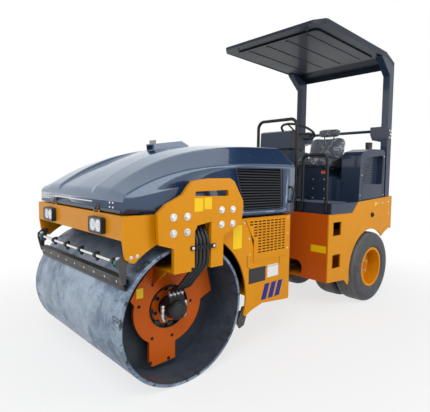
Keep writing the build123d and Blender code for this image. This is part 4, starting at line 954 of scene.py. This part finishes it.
class AddSprinkler(bpy.types.Operator):
    """Adds the sprinkler's nozzle clips and end taps, and the bolts and strip of the scraper blades"""

    bl_idname = "roller.add_sprinkler"
    bl_label = "Add sprinkler"

    def execute(self, context):
        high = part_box("sprinkler_tube")[1]
        x, _, z = middle("sprinkler_tube")
        first, last = (corner.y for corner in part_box("sprinkler_nozzles"))
        clips = [part for y in np.linspace(first + 0.014, last - 0.014, 6) for part in self.clip(x, y, z)]
        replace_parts(add_piece("nozzle_clips", clips, "front_frame", "plastic"), "sprinkler_nozzles")
        collar = [(0.0098, -0.016), (0.0150, -0.015), (0.0150, 0.015), (0.0098, 0.016)]
        spout = [(0.009, 0.0), (0.009, 0.022), (0.006, 0.026)]
        knob = [(0.006, 0.0), (0.011, 0.003), (0.011, 0.012), (0.008, 0.015)]
        taps, knobs = [], []
        for side in (-1, 1):
            y = side * (high.y - 0.030)
            taps += [turned((x - 0.001, y, z), ACROSS, collar, 18, closed=True),
                     turned((x - 0.002, y, z - 0.008), DOWN, spout, 14)]
            knobs.append(turned((x - 0.004, y, z + 0.012), UP, knob, 10))
        add_piece("sprinkler_taps", taps, "front_frame", "tap")
        add_piece("tap_knobs", knobs, "front_frame", "white")
        # The blades touch the drum a third of the way from its front to its top.
        angle, reach, half = math.radians(30), 0.415, 0.606
        x, z = DRUM_X + reach * math.cos(angle), DRUM_Z + reach * math.sin(angle)
        spots = [(x + 0.0155, y, z + 0.040) for y in np.linspace(-0.56, 0.56, 9)]
        add_piece("blade_bolts", [screws(spots, (1, 0, 0.2), 0.006, 0.004)], "front_frame", "zinc",
                  smooth=False)
        strip = [(x + 0.0025, z - 0.001), (x + 0.0115, z), (x + 0.015, z + 0.019), (x + 0.006, z + 0.019)]
        add_piece("blade_strip", [prism(strip, 1, -half, half)], "front_frame", "hose",
                  smooth=False, bevel=0.001)
        return {"FINISHED"}

    def clip(self, x, y, z):
        """A collar round the tube with its block, its slanted nozzle and the wire that holds it."""
        collar = [(0.0095, -0.013), (0.0145, -0.013), (0.0155, -0.010), (0.0155, 0.010), (0.0145, 0.013),
                  (0.0095, 0.013)]
        nozzle = [(0.0085, 0.0), (0.0085, 0.008), (0.0105, 0.009), (0.0105, 0.018), (0.006, 0.021),
                  (0.004, 0.024)]
        wire = [(x + 0.006, y - 0.016, z + 0.010), (x - 0.012, y - 0.017, z + 0.016),
                (x - 0.018, y - 0.016, z), (x - 0.012, y - 0.016, z - 0.014),
                (x + 0.002, y - 0.016, z - 0.016)]
        return [turned((x, y, z), ACROSS, collar, 20, closed=True),
                brick(x - 0.020, x - 0.008, y - 0.008, y + 0.008, z + 0.002, z + 0.020),
                turned((x - 0.006, y, z - 0.010), (-0.25, 0, -1), nozzle, 14),
                ribbon(spline(wire, 16), 0.0022, 6)]


class AddTyres(bpy.types.Operator):
    """Adds the smooth tyres with ribbed sides, and the nuts, caps and valves of the rims"""

    bl_idname = "roller.add_tyres"
    bl_label = "Add tyres"

    def execute(self, context):
        # Half of the section, from the bead on the rim out to the middle of the grooved tread.
        half = np.array([
            (0.196, 0.092), (0.200, 0.104), (0.209, 0.1115), (0.222, 0.1155), (0.226, 0.1185),
            (0.234, 0.1185), (0.238, 0.1165), (0.262, 0.1195), (0.284, 0.1195), (0.288, 0.1180),
            (0.304, 0.1165), (0.318, 0.1115), (0.331, 0.1030), (0.3405, 0.0900), (0.3452, 0.0740),
            (0.3468, 0.0560), (0.3468, 0.0500), (0.3440, 0.0480), (0.3440, 0.0455), (0.3468, 0.0435),
            (0.3470, 0.0170), (0.3442, 0.0150), (0.3442, 0.0125), (0.3470, 0.0105)])
        profile = np.concatenate([half, (half * (1, -1))[::-1]])[::-1]
        middles, hub_face, rim_face, valve_face = (0.555, 0.285), 0.551, 0.638, 0.536
        cap = [(0.046, 0.0), (0.046, 0.006), (0.040, 0.010), (0.038, 0.026), (0.030, 0.034), (0.012, 0.036)]
        lip = [(0.184, 0.0), (0.188, 0.004), (0.194, 0.005), (0.197, 0.002), (0.194, -0.006),
               (0.187, -0.006)]
        stem = [(0.004, 0.0), (0.004, 0.022), (0.0055, 0.024), (0.0055, 0.034), (0.003, 0.036)]
        nut = context.scene.roller_sizes.nut
        for side, sign in (("left", 1), ("right", -1)):
            body, out = side + "_wheels", (0, sign, 0)
            hub = (AXLE_X, sign * hub_face, AXLE_Z)
            tyres = [turned((AXLE_X, sign * place, AXLE_Z), ACROSS, profile, 128, closed=True)
                     for place in middles]
            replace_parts(add_piece(side + "_tyre_rubber", tyres, body, "tyre"), side + "_tyres")
            nuts = screws(ring_places(hub, out, 0.092, 6, 0.26), out, nut, 0.018, 1.3)
            add_piece(side + "_wheel_nuts", [nuts], body, "zinc", smooth=False)
            add_piece(side + "_hub_cap", [turned(hub, out, cap, 40)], body, "shaded")
            rim = turned((AXLE_X, sign * rim_face, AXLE_Z), out, lip, 96, closed=True)
            add_piece(side + "_rim_lip", [rim], body, "orange")
            spot = (AXLE_X + 0.105, sign * valve_face, AXLE_Z + 0.105)
            add_piece(side + "_valve", [turned(spot, out, stem, 12)], body, "hose")
        return {"FINISHED"}


class AddSeat(bpy.types.Operator):
    """Adds the padded seat with its sewn channels, its hardware, and the clear film round it"""

    bl_idname = "roller.add_seat"
    bl_label = "Add seat"

    def execute(self, context):
        y, foot = (SEAT_LOW.y + SEAT_HIGH.y) / 2, SEAT_LOW.z
        cushion = self.pad("seat_cushion", (-0.862, y, foot + 0.042), (0.158, 0.222, 0.034), 0.0, 0.016)
        back = self.pad("seat_backrest", (-1.018, y, foot + 0.196), (0.036, 0.218, 0.134), -13.0, 0.018)
        head = self.pad("seat_headrest", (-1.062, y, foot + 0.376), (0.026, 0.126, 0.037), -9.0, 0.008)
        for pad in (cushion, back, head):
            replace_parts(pad, "seat")
        posts = [ribbon([(-1.056, y + s * 0.06, foot + 0.30), (-1.060, y + s * 0.06, foot + 0.36)], 0.006)
                 for s in (-1, 1)]
        tray = brick(-1.010, -0.716, y - 0.205, y + 0.205, foot, foot + 0.014)
        shell = prism([(-1.066, foot + 0.04), (-1.000, foot), (-0.99, foot + 0.03), (-1.050, foot + 0.27),
                       (-1.082, foot + 0.27)], 1, y - 0.17, y + 0.17)
        arm = prism(rounded([(-1.010, foot + 0.012), (-0.800, foot + 0.012), (-0.800, foot + 0.060),
                             (-1.010, foot + 0.120)], 0.015), 1, y + 0.216, y + 0.232)
        add_piece("seat_hardware", [*posts, tray, shell, arm], "rear_frame", "plastic",
                  smooth=False, bevel=0.002)
        self.film(cushion, back, head)
        return {"FINISHED"}

    def pad(self, name, centre, half, lean, swell):
        """A crowned pad: a corner is the centre plus the half size times sign(c)|c|^p on each axis, for
        c on a sphere, so it is a box with rounded sides. It is blown up as cloth and sewn across."""
        u = np.linspace(0, 2 * np.pi, 72, endpoint=False)
        v = np.linspace(-np.pi / 2, np.pi / 2, 37)[1:-1]
        bend = lambda c, power: np.sign(c) * np.abs(c) ** power
        flat = int(np.argmin(half))
        first, second = (i for i in range(3) if i != flat)
        points = np.zeros((len(v), len(u), 3))
        points[..., first] = bend(np.cos(v), 0.40)[:, None] * bend(np.cos(u), 0.42)
        points[..., second] = bend(np.cos(v), 0.40)[:, None] * bend(np.sin(u), 0.42)
        points[..., flat] = bend(np.sin(v), 0.55)[:, None]
        count = len(u)
        faces = grid_faces(len(v), count, close_columns=True)
        faces += [list(range(count))[::-1], list(range((len(v) - 1) * count, len(v) * count))]
        turn = np.array(Matrix.Rotation(math.radians(lean), 3, "Y"))
        corners = (points.reshape(-1, 3) * half) @ turn.T + centre
        piece = add_piece(name, [(corners, faces)], "rear_frame", "vinyl")
        self.blow(piece, swell)
        self.channel(piece, np.array(centre), np.array(half), turn, flat)
        return piece

    def blow(self, piece, cap):
        """Remeshes the pad, swells it as cloth under pressure and holds each point within a cap."""
        context = bpy.context
        context.view_layer.objects.active = piece
        remesh = piece.modifiers.new("remesh", "REMESH")
        remesh.mode, remesh.voxel_size = "VOXEL", 0.006
        bpy.ops.object.modifier_apply(modifier="remesh")
        start = self.read(piece)
        cloth = piece.modifiers.new("cloth", "CLOTH")
        cloth.settings.use_pressure = True
        cloth.settings.uniform_pressure_force = 4.0
        cloth.settings.effector_weights.gravity = 0.0
        cloth.settings.quality = 5
        for step in range(1, 21):
            context.scene.frame_set(step)
        bpy.ops.object.modifier_apply(modifier="cloth")
        moved = self.read(piece) - start
        far = np.linalg.norm(moved, axis=1)[:, None]
        moved *= np.minimum(1.0, cap / np.maximum(far, 1e-9))
        piece.data.vertices.foreach_set("co", (start + moved).ravel())
        piece.data.polygons.foreach_set("use_smooth", np.ones(len(piece.data.polygons), bool))
        context.scene.frame_set(1)

    def channel(self, piece, centre, half, turn, flat):
        """Presses sewn channels into the pad: each is a narrow dip with a Gaussian section."""
        width, depth = 0.006, 0.006
        local = (self.read(piece) - centre) @ turn
        dip = sum(np.exp(-((local[:, 1] - share * half[1]) / width) ** 2) for share in (-0.42, 0.42))
        local[:, flat] -= np.sign(local[:, flat]) * dip * depth
        piece.data.vertices.foreach_set("co", (local @ turn.T + centre).ravel())
        piece.data.update()

    def read(self, piece):
        """The corners of a piece's mesh as one array."""
        points = np.empty(len(piece.data.vertices) * 3)
        piece.data.vertices.foreach_get("co", points)
        return points.reshape(-1, 3)

    def film(self, *pads):
        """The clear wrap: a copy of each pad's skin pushed out along its normals, in folds that are the
        product of two sines with a finer third one."""
        gap = bpy.context.scene.roller_sizes.film
        for pad in pads:
            mesh = pad.data.copy()
            normals = np.empty(len(mesh.vertices) * 3)
            mesh.vertex_normals.foreach_get("vector", normals)
            points = self.read(pad)
            waves = (np.sin(points @ (61, 23, 47)) * np.sin(points @ (-29, 71, 17))
                     + 0.6 * np.sin(points @ (113, -97, 83)))
            fold = gap * (0.55 + 0.30 * np.abs(waves))
            mesh.vertices.foreach_set("co", (points + normals.reshape(-1, 3) * fold[:, None]).ravel())
            mesh.materials.clear()
            mesh.materials.append(look("film"))
            wrap = bpy.data.objects.new(pad.name + "_film", mesh)
            bpy.context.scene.collection.objects.link(wrap)
            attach(wrap, "rear_frame")


class AddControls(bpy.types.Operator):
    """Adds the steering wheel, the dash's gauges and switches, the lever knobs and the deck's mat"""

    bl_idname = "roller.add_controls"
    bl_label = "Add controls"

    def execute(self, context):
        self.wheel(context.scene.roller_sizes.grip)
        self.dash()
        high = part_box("control_levers")[1]
        x, y, plate = -0.790, -0.180, 1.384
        knob = [(0.008, -0.022), (0.015, -0.018), (0.019, -0.006), (0.018, 0.004), (0.011, 0.012),
                (0.004, 0.0135)]
        boot = [(0.040, 0.0), (0.038, 0.008), (0.028, 0.012), (0.030, 0.018), (0.020, 0.022),
                (0.022, 0.028), (0.012, 0.032)]
        knobs = [turned((x, y, high.z - 0.014), UP, knob, 24), turned((x, y, plate), UP, boot, 28)]
        add_piece("lever_knobs", knobs, "rear_frame", "plastic")
        mat = prism(card(-0.690, -0.372, -0.585, 0.585, 0.03), 2, PLATFORM - 0.001, PLATFORM + 0.003)
        add_piece("deck_mat", [mat], "rear_frame", "mat", smooth=False)
        pedal = prism(card(-0.640, -0.560, 0.180, 0.245, 0.008), 2, PLATFORM + 0.030, PLATFORM + 0.040)
        stem = brick(-0.607, -0.593, 0.205, 0.219, PLATFORM, PLATFORM + 0.032)
        add_piece("foot_pedal", [pedal, stem], "rear_frame", "black", smooth=False, bevel=0.001)
        return {"FINISHED"}

    def wheel(self, grip):
        """The rim, three spokes and the boss of the steering wheel, in its leaning plane."""
        centre = np.array((-0.492, middle("steering_wheel")[1], 1.640))
        lean, ring, across = math.radians(20), 0.162, np.array(ACROSS, float)
        up = np.array((-math.sin(lean), 0, math.cos(lean)))
        along = np.array((math.cos(lean), 0, math.sin(lean)))
        angle = np.linspace(0, 2 * np.pi, 96, endpoint=False)
        circle = (centre + up * 0.020
                  + ring * (np.cos(angle)[:, None] * along + np.sin(angle)[:, None] * across))
        # Finger grips: the rim's thickness swells a little 24 times round.
        parts = [ribbon(circle, grip * (0.93 + 0.05 * np.cos(angle * 24)), 14, closed=True)]
        for turn in np.radians((0, 120, 240)):
            out = np.cos(turn) * along + np.sin(turn) * across
            spoke = spline([centre + out * reach + up * rise for reach, rise in
                            ((0.018, 0.004), (0.060, 0.006), (0.120, 0.013), (ring - 0.004, 0.019))], 18)
            parts.append(ribbon(spoke, 0.011, 12, flat=0.0045))
        parts.append(turned(centre, up, [(0.030, -0.014), (0.034, -0.010), (0.034, 0.010), (0.028, 0.016),
                                         (0.012, 0.018)], 36))
        rim = add_piece("steering_wheel_rim", parts, "steering_wheel", "grip")
        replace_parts(rim, "steering_wheel")

    def dash(self):
        """Gauge rims, keys and glasses on the dash's sloping face, and the trims at its two ends."""
        low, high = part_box("dash_console")
        start, end = np.array((high.x - 0.207, 0, 1.575)), np.array((high.x - 0.034, 0, 1.658))
        normal = np.cross(ACROSS, end - start)
        normal /= np.linalg.norm(normal)
        normal *= np.sign(normal[2])
        at = lambda share, side: start + (end - start) * share + (0, (low.y + high.y) / 2 + side, 0)
        gauges = ((-0.12, 0.030), (-0.045, 0.020))
        rims = [turned(at(0.55, side), normal, [(size, 0.0), (size + 0.004, 0.003), (size, 0.007),
                                                (size - 0.004, 0.004)], 32, closed=True)
                for side, size in gauges]
        keys = [turned(at(0.3, side), normal, [(0.009, 0.0), (0.009, 0.006), (0.006, 0.014)], 16)
                for side in (0.07, 0.10, 0.13)]
        add_piece("dash_gauges", [*rims, *keys], "rear_frame", "plastic")
        dials = [turned(at(0.55, side), normal, [(size - 0.003, 0.0), (size - 0.003, 0.003)], 32)
                 for side, size in gauges]
        add_piece("gauge_glasses", dials, "rear_frame", "glass", smooth=False)
        edge = rounded([(high.x - 0.205, 1.492), (high.x - 0.004, 1.492), (high.x - 0.009, 1.643),
                        (high.x - 0.034, 1.6565), (high.x - 0.205, 1.574)], 0.006)
        trims = [prism(edge, 1, level, level + 0.003) for level in (low.y - 0.001, high.y - 0.002)]
        add_piece("dash_trims", trims, "rear_frame", "plastic", smooth=False)


class AddConsole(bpy.types.Operator):
    """Adds the console's seams, screws and lamps, the pods' ribs, screws and seams, and the caps' ribs"""

    bl_idname = "roller.add_console"
    bl_label = "Add console"

    def execute(self, context):
        rear, front = (corner.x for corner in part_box("seat_console"))
        x, foot = front + 0.0002, PLATFORM + 0.004
        seams = [ribbon(line, 0.0013, 6) for line in
                 ([(x, -0.16, foot), (x, -0.16, 1.222)], [(x, 0.19, foot), (x, 0.19, 1.222)],
                  [(x, -0.330, 1.168), (x, 0.330, 1.168)])]
        add_piece("console_seams", seams, "rear_frame", "dark")
        spots = [(front, y, z) for y in (-0.31, -0.145, 0.175, 0.31) for z in (1.206, 1.112, 1.020)]
        add_piece("console_screws", [buttons(spots, AHEAD, 0.0065, 0.004)], "rear_frame", "zinc")
        tag = prism(card(0.262, 0.330, 1.262, 1.290, 0.004), 0, -0.722, -0.717)
        add_piece("console_reflector", [tag], "rear_frame", "amber", smooth=False)
        self.pods()
        for finish, spot in (("red", 0.240), ("amber", 0.300)):
            lamps = [prism(card(s * spot - 0.026, s * spot + 0.026, 1.215, 1.285, 0.008), 0,
                           rear - 0.018, rear - 0.001) for s in (-1, 1)]
            add_piece("tail_lamps_" + finish, lamps, "rear_frame", finish, smooth=False, bevel=0.002)
        bases = [prism(card(s * 0.270 - 0.064, s * 0.270 + 0.064, 1.205, 1.295, 0.010), 0,
                       rear - 0.006, rear + 0.001) for s in (-1, 1)]
        add_piece("tail_lamp_bases", bases, "rear_frame", "plastic", smooth=False)
        # painted shade: dark strips where the vent's slots are
        slots = [brick(rear - 0.003, rear + 0.001, -0.16, 0.16, z, z + 0.006)
                 for z in np.linspace(1.04, 1.17, 9)]
        add_piece("rear_vent", slots, "rear_frame", "dark", smooth=False)
        return {"FINISHED"}

    def pods(self):
        """Ribs in the pods' pockets, screws and a seam on their sides, and the ribs of their caps."""
        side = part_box("side_pods")[1].y
        ribs = [brick(-1.285, -0.985, 0.553, 0.5555, z, z + 0.004) for z in np.linspace(1.20, 1.36, 7)]
        add_pair("pocket_ribs", ribs, "rear_frame", "dark", smooth=False)
        spots = [(x, side, z) for x, z in ((-0.880, 1.06), (-0.905, 1.255), (-1.362, 1.06), (-1.355, 1.46))]
        add_pair("pod_screws", [buttons(spots, ACROSS, 0.006, 0.0035)], "rear_frame", "zinc")
        seam = rounded([(-1.345, 1.02), (-0.905, 1.02), (-0.925, 1.19), (-1.05, 1.40), (-1.345, 1.44)],
                       0.03)
        add_pair("pod_seams", [ribbon(on_face(seam, 1, side + 0.0003), 0.0013, 6, closed=True)],
                 "rear_frame", "dark")
        low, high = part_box("filler_caps")
        x, y, radius = (low.x + high.x) / 2, high.y - 0.034, 0.0335
        ribs = [turned((x + radius * math.cos(angle), y + radius * math.sin(angle), high.z - 0.045), UP,
                       [(0.0032, 0.0), (0.0032, 0.040), (0.0015, 0.043)], 6)
                for angle in np.linspace(0, 2 * np.pi, 24, endpoint=False)]
        add_pair("cap_ribs", ribs, "rear_frame", "plastic", smooth=False)


class AddPosts(bpy.types.Operator):
    """Adds the bolts and plates of the folding posts, the rails' feet, and the roof's ribs and studs"""

    bl_idname = "roller.add_posts"
    bl_label = "Add posts"

    def execute(self, context):
        x, joint, outer = -1.435, 1.700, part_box("lower_posts")[1].y
        plate = prism(card(x - 0.030, x + 0.030, joint - 0.060, joint + 0.060, 0.008), 1,
                      outer - 0.001, outer + 0.004)
        add_pair("post_plates", [plate], "rear_frame", "blue", smooth=False, bevel=0.001)
        spots = [(x + i * 0.016, outer + 0.004, joint + k * 0.036) for k in (1, -1) for i in (-1, 1)]
        add_pair("post_bolts", [screws(spots, ACROSS, 0.0085, 0.008)], "rear_frame", "zinc", smooth=False)
        pin = turned((x, outer + 0.004, joint), ACROSS, [(0.010, 0.0), (0.010, 0.010), (0.007, 0.012)], 20)
        add_pair("fold_pins", [pin], "rear_frame", "chrome")
        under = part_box("roof")[1].z - 0.058
        lining = prism(card(-1.24, -0.26, -0.50, 0.50, 0.05), 2, under - 0.005, under + 0.002)
        add_piece("roof_lining", [lining], "rear_frame", "roof", smooth=False, bevel=0.002)
        ribs = [prism(card(-1.20, -0.30, y - 0.020, y + 0.020, 0.018), 2, under - 0.010, under - 0.004)
                for y in (-0.36, -0.12, 0.12, 0.36)]
        add_piece("roof_ribs", ribs, "rear_frame", "roof", smooth=False, bevel=0.003)
        studs = [(-0.218, -0.429, under), (-0.218, 0.429, under), (-1.238, 0.575, under),
                 (-1.238, -0.575, under)]
        add_piece("roof_studs", [buttons(studs, DOWN, 0.011, 0.010)], "rear_frame", "plastic")
        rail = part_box("rails")[1].x - 0.015
        feet = [turned((rail, y, PLATFORM), UP, [(0.026, 0.0), (0.026, 0.004), (0.020, 0.006),
                                                 (0.017, 0.014)], 20)
                for y in (-0.592, -0.330, -0.245, 0.245, 0.330, 0.592)]
        add_piece("rail_feet", feet, "rear_frame", "black", smooth=False)
        return {"FINISHED"}


class AddLamps(bpy.types.Operator):
    """Adds the reflector bowls, bulbs and rims of the headlamps"""

    bl_idname = "roller.add_lamps"
    bl_label = "Add lamps"

    def execute(self, context):
        low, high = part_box("lamp_glasses")
        x, y, z = low.x + 0.0005, 0.370, (low.z + high.z) / 2
        bowl = [(0.010, 0.0), (0.018, 0.0008), (0.030, 0.0026), (0.034, 0.0028), (0.034, 0.0)]
        bulb = [(0.007, 0.0), (0.006, 0.0028)]
        bowls = [part for shift in (-0.034, 0.034) for part in
                 (turned((x, y + shift, z), AHEAD, bowl, 36, closed=True),
                  turned((x, y + shift, z), AHEAD, bulb, 16))]
        add_pair("lamp_bowls", bowls, "front_frame", "mirror")
        rim = on_face(card(y - 0.078, y + 0.078, z - 0.040, z + 0.040, 0.008), 0, high.x - 0.001)
        add_pair("lamp_rims", [ribbon(rim, 0.0035, 8, closed=True)], "front_frame", "plastic")
        return {"FINISHED"}


class AddPlates(bpy.types.Operator):
    """Adds the blank plates and slanted bars on the frames"""

    bl_idname = "roller.add_plates"
    bl_label = "Add plates"

    def execute(self, context):
        thick = context.scene.roller_sizes.plate
        x = DRUM_X
        for name, body, finish, face, edges in (
                ("yoke_plates", "front_frame", "yellow", YOKE, (x - 0.071, x - 0.011, 1.009, 1.085)),
                ("yoke_plates_small", "front_frame", "yellow", YOKE, (x - 0.134, x - 0.080, 1.020, 1.088)),
                ("side_plates_tall", "front_frame", "yellow", SIDE, (0.684, 0.760, 0.744, 0.898)),
                ("side_plates_black", "front_frame", "plastic", SIDE, (0.452, 0.614, 0.487, 0.590)),
                ("side_plates_white", "front_frame", "white", SIDE, (0.318, 0.432, 0.502, 0.590)),
                ("rear_strips", "rear_frame", "yellow", REAR_SIDE, (-1.170, -1.140, 0.951, 0.990))):
            plate = prism(card(*edges, 0.003), 1, face - 0.0005, face + thick)
            add_pair(name, [plate], body, finish, smooth=False)
        plate = prism(card(0.452, 0.614, 0.567, 0.628, 0.003), 0, REAR_FRONT - 0.0005, REAR_FRONT + thick)
        add_piece("rear_card", [plate], "rear_frame", "yellow", smooth=False)
        plate = prism(card(1.280, 1.322, 0.500, 0.558, 0.003), 1, INNER_PLATE - 0.0005, INNER_PLATE + thick)
        add_pair("yoke_cards", [plate], "front_frame", "yellow", smooth=False)
        foot, top = 0.350, 0.461
        bars = [prism(rounded([(x, foot), (x + 0.050, foot), (x + 0.012, top), (x - 0.036, top)], 0.002),
                      1, SIDE - 0.0005, SIDE + thick) for x in (0.442, 0.372, 0.302)]
        add_pair("side_bars", bars, "front_frame", "bars", smooth=False)
        return {"FINISHED"}


class AddRearBits(bpy.types.Operator):
    """Adds the rear frame's bolts, lashing eyes, weld beads and window edges, and the hitch's nipple"""

    bl_idname = "roller.add_rear_bits"
    bl_label = "Add rear bits"

    def execute(self, context):
        spots = [(x, REAR_SIDE, z) for x, z in
                 ((-1.432, 0.984), (-1.443, 0.863), (-1.300, 0.975), (-1.180, 0.975))]
        add_pair("rear_bolts", [screws(spots, ACROSS, 0.0085, 0.008)], "rear_frame", "zinc", smooth=False)
        eye = turned((-1.090, REAR_SIDE, 0.865), ACROSS, [(0.012, 0.0), (0.024, 0.0), (0.024, 0.010),
                                                          (0.020, 0.014), (0.012, 0.014)], 28, closed=True)
        add_pair("lashing_eyes", [eye], "rear_frame", "black")
        x, y = REAR_FRONT - 0.002, REAR_SIDE - 0.014
        add_pair("rear_welds", [bead((x, y, 0.30), (x, y, 0.89))], "rear_frame", "shaded")
        edges = [ribbon(on_face(card(-0.528, -0.398, z - 0.061, z + 0.061, 0.006), 1, REAR_SIDE), 0.0022, 6,
                        closed=True) for z in (0.485, 0.775)]
        add_pair("window_edges", edges, "rear_frame", "orange")
        low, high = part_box("hitch")
        nipple = [(0.005, 0.0), (0.005, 0.006), (0.003, 0.008), (0.004, 0.012), (0.002, 0.014)]
        add_piece("grease_nipples", [turned((low.x + 0.010, 0.0, high.z - 0.001), UP, nipple, 12)],
                  "hitch", "zinc")
        return {"FINISHED"}


class AddStage(bpy.types.Operator):
    """Adds the pale floor, the soft lights and the camera"""

    bl_idname = "roller.add_stage"
    bl_label = "Add stage"

    def execute(self, context):
        scene, far = context.scene, 40
        mesh = bpy.data.meshes.new("floor")
        corners = [(-far, -far, 0), (far, -far, 0), (far, far, 0), (-far, far, 0)]
        mesh.from_pydata(corners, [], [(0, 1, 2, 3)])
        mesh.materials.append(self.floor())
        ground = bpy.data.objects.new("floor", mesh)
        scene.collection.objects.link(ground)
        scene.world = bpy.data.worlds.new("studio")
        scene.world.use_nodes = True
        self.backdrop(scene.world.node_tree)
        size = 3.0
        self.lamp("key", (3.6, 3.4, 5.0), size, 150.0, (0, 0, 0.8))
        self.lamp("side", (-1.6, 5.0, 2.4), size, 95.0, (-0.4, 0, 0.7))
        self.lamp("front", (5.0, -2.2, 2.2), size, 45.0, (0.5, 0, 0.7))
        scene.view_settings.view_transform = "Standard"
        self.camera(scene)
        return {"FINISHED"}

    def any_ray(self, tree):
        """1 for camera, mirror and glass rays, which see the backdrop as plain white."""
        path = add_node(tree, "ShaderNodeLightPath", {})
        share = path.outputs["Is Camera Ray"]
        for other in ("Is Glossy Ray", "Is Transmission Ray"):
            share = add_node(tree, "ShaderNodeMath", {0: share, 1: path.outputs[other]},
                             operation="MAXIMUM").outputs[0]
        return share

    def backdrop(self, tree):
        """Plain white where it is seen, and a dimmer, cooler light on everything else."""
        tree.nodes.clear()
        seen = self.any_ray(tree)
        white = add_node(tree, "ShaderNodeBackground", {"Color": (1, 1, 1), "Strength": 1.0})
        soft = add_node(tree, "ShaderNodeBackground", {"Color": (0.93, 0.96, 1.0), "Strength": 0.42})
        both = add_node(tree, "ShaderNodeMixShader", {0: seen, 1: soft.outputs[0], 2: white.outputs[0]})
        add_node(tree, "ShaderNodeOutputWorld", {"Surface": both.outputs[0]})

    def floor(self):
        """Pale floor: near the machine it keeps a little over a quarter of its shading, so the shadow
        shows, and by three and a half metres out it is as white as the backdrop."""
        floor = Look("pale_floor")
        x, y = floor.axis(0), floor.axis(1)
        away = ((x * x + y * y) ** 0.5).between(1.2, 3.6) * 0.28 + 0.72
        share = away * Value(floor, self.any_ray(floor.tree))
        diffuse = floor.node("ShaderNodeBsdfDiffuse", {"Color": (0.80, 0.80, 0.80)})
        white = floor.node("ShaderNodeEmission", {"Color": (1.0, 1.0, 1.0), "Strength": 1.0})
        both = floor.node("ShaderNodeMixShader", {0: share, 1: diffuse.outputs[0], 2: white.outputs[0]})
        floor.node("ShaderNodeOutputMaterial", {"Surface": both.outputs[0]})
        return floor.material

    def camera(self, scene):
        """The photo's view. The lens and the shifts come from a focal length and a middle in pixels,
        on a frame 430 pixels wide and 412 high."""
        wide, high, sensor = 430, 412, 36.0
        focal, middle_x, middle_y = 379.969, 276.613, 202.962
        camera = bpy.data.cameras.new("camera")
        camera.sensor_width, camera.sensor_fit = sensor, "HORIZONTAL"
        camera.lens = focal / wide * sensor
        camera.shift_x, camera.shift_y = -(middle_x - wide / 2) / wide, (middle_y - high / 2) / wide
        camera.clip_end = 200.0
        held = bpy.data.objects.new("camera", camera)
        yaw, pitch, roll = 0.733, 0.066, 0.024
        ahead = -np.array([math.cos(yaw) * math.cos(pitch), math.sin(yaw) * math.cos(pitch),
                           math.sin(pitch)])
        right = np.cross(ahead, UP)
        right /= np.linalg.norm(right)
        up = np.cross(right, ahead)
        across = math.cos(roll) * right + math.sin(roll) * up
        above = -math.sin(roll) * right + math.cos(roll) * up
        self.hold(held, (across, above, -ahead), (2.375, 2.463, 1.211))
        scene.camera = held

    def lamp(self, name, place, size, power, target):
        light = bpy.data.lights.new(name, "AREA")
        light.energy, light.size = power, size
        back = np.asarray(place, float) - target
        back /= np.linalg.norm(back)
        side = np.cross(UP, back)
        side /= np.linalg.norm(side)
        self.hold(bpy.data.objects.new(name, light), (side, np.cross(back, side), back), place)

    def hold(self, piece, axes, place):
        """Puts a lamp or camera in the scene, turned to its three axes."""
        rows = [(*row, p) for row, p in zip(np.stack(axes, 1), place)]
        piece.matrix_world = Matrix(rows + [(0, 0, 0, 1)])
        bpy.context.scene.collection.objects.link(piece)


OPERATORS = [AddStage, FinishFrame, AddHood, AddLouvres, AddPanels, AddYokes, AddDrumEnds, AddSprinkler,
             AddTyres, AddSeat, AddControls, AddConsole, AddPosts, AddLamps, AddPlates, AddRearBits]
GROUPS = {"roller_colours": RollerColours, "roller_sizes": RollerSizes, "roller_hood": HoodShape}


class RollerPanel(bpy.types.Panel):
    """Lists the roller's settings and operators"""

    bl_idname = "VIEW3D_PT_roller"
    bl_label = "Road roller"
    bl_space_type = "VIEW_3D"
    bl_region_type = "UI"
    bl_category = "Roller"

    def draw(self, context):
        for name in GROUPS:
            group = getattr(context.scene, name)
            for key in group.bl_rna.properties.keys():
                if key not in ("rna_type", "name"):
                    self.layout.prop(group, key)
        for operator in OPERATORS:
            self.layout.operator(operator.bl_idname)


CLASSES = [*GROUPS.values(), *OPERATORS, RollerPanel]


def register():
    for entry in CLASSES:
        bpy.utils.register_class(entry)
    for name, group in GROUPS.items():
        setattr(bpy.types.Scene, name, bpy.props.PointerProperty(type=group))


def unregister():
    for name in GROUPS:
        delattr(bpy.types.Scene, name)
    for entry in reversed(CLASSES):
        bpy.utils.unregister_class(entry)


def main():
    register()
    for operator in OPERATORS:
        group, name = operator.bl_idname.split(".")
        getattr(getattr(bpy.ops, group), name)()


if __name__ == "__main__":
    main()
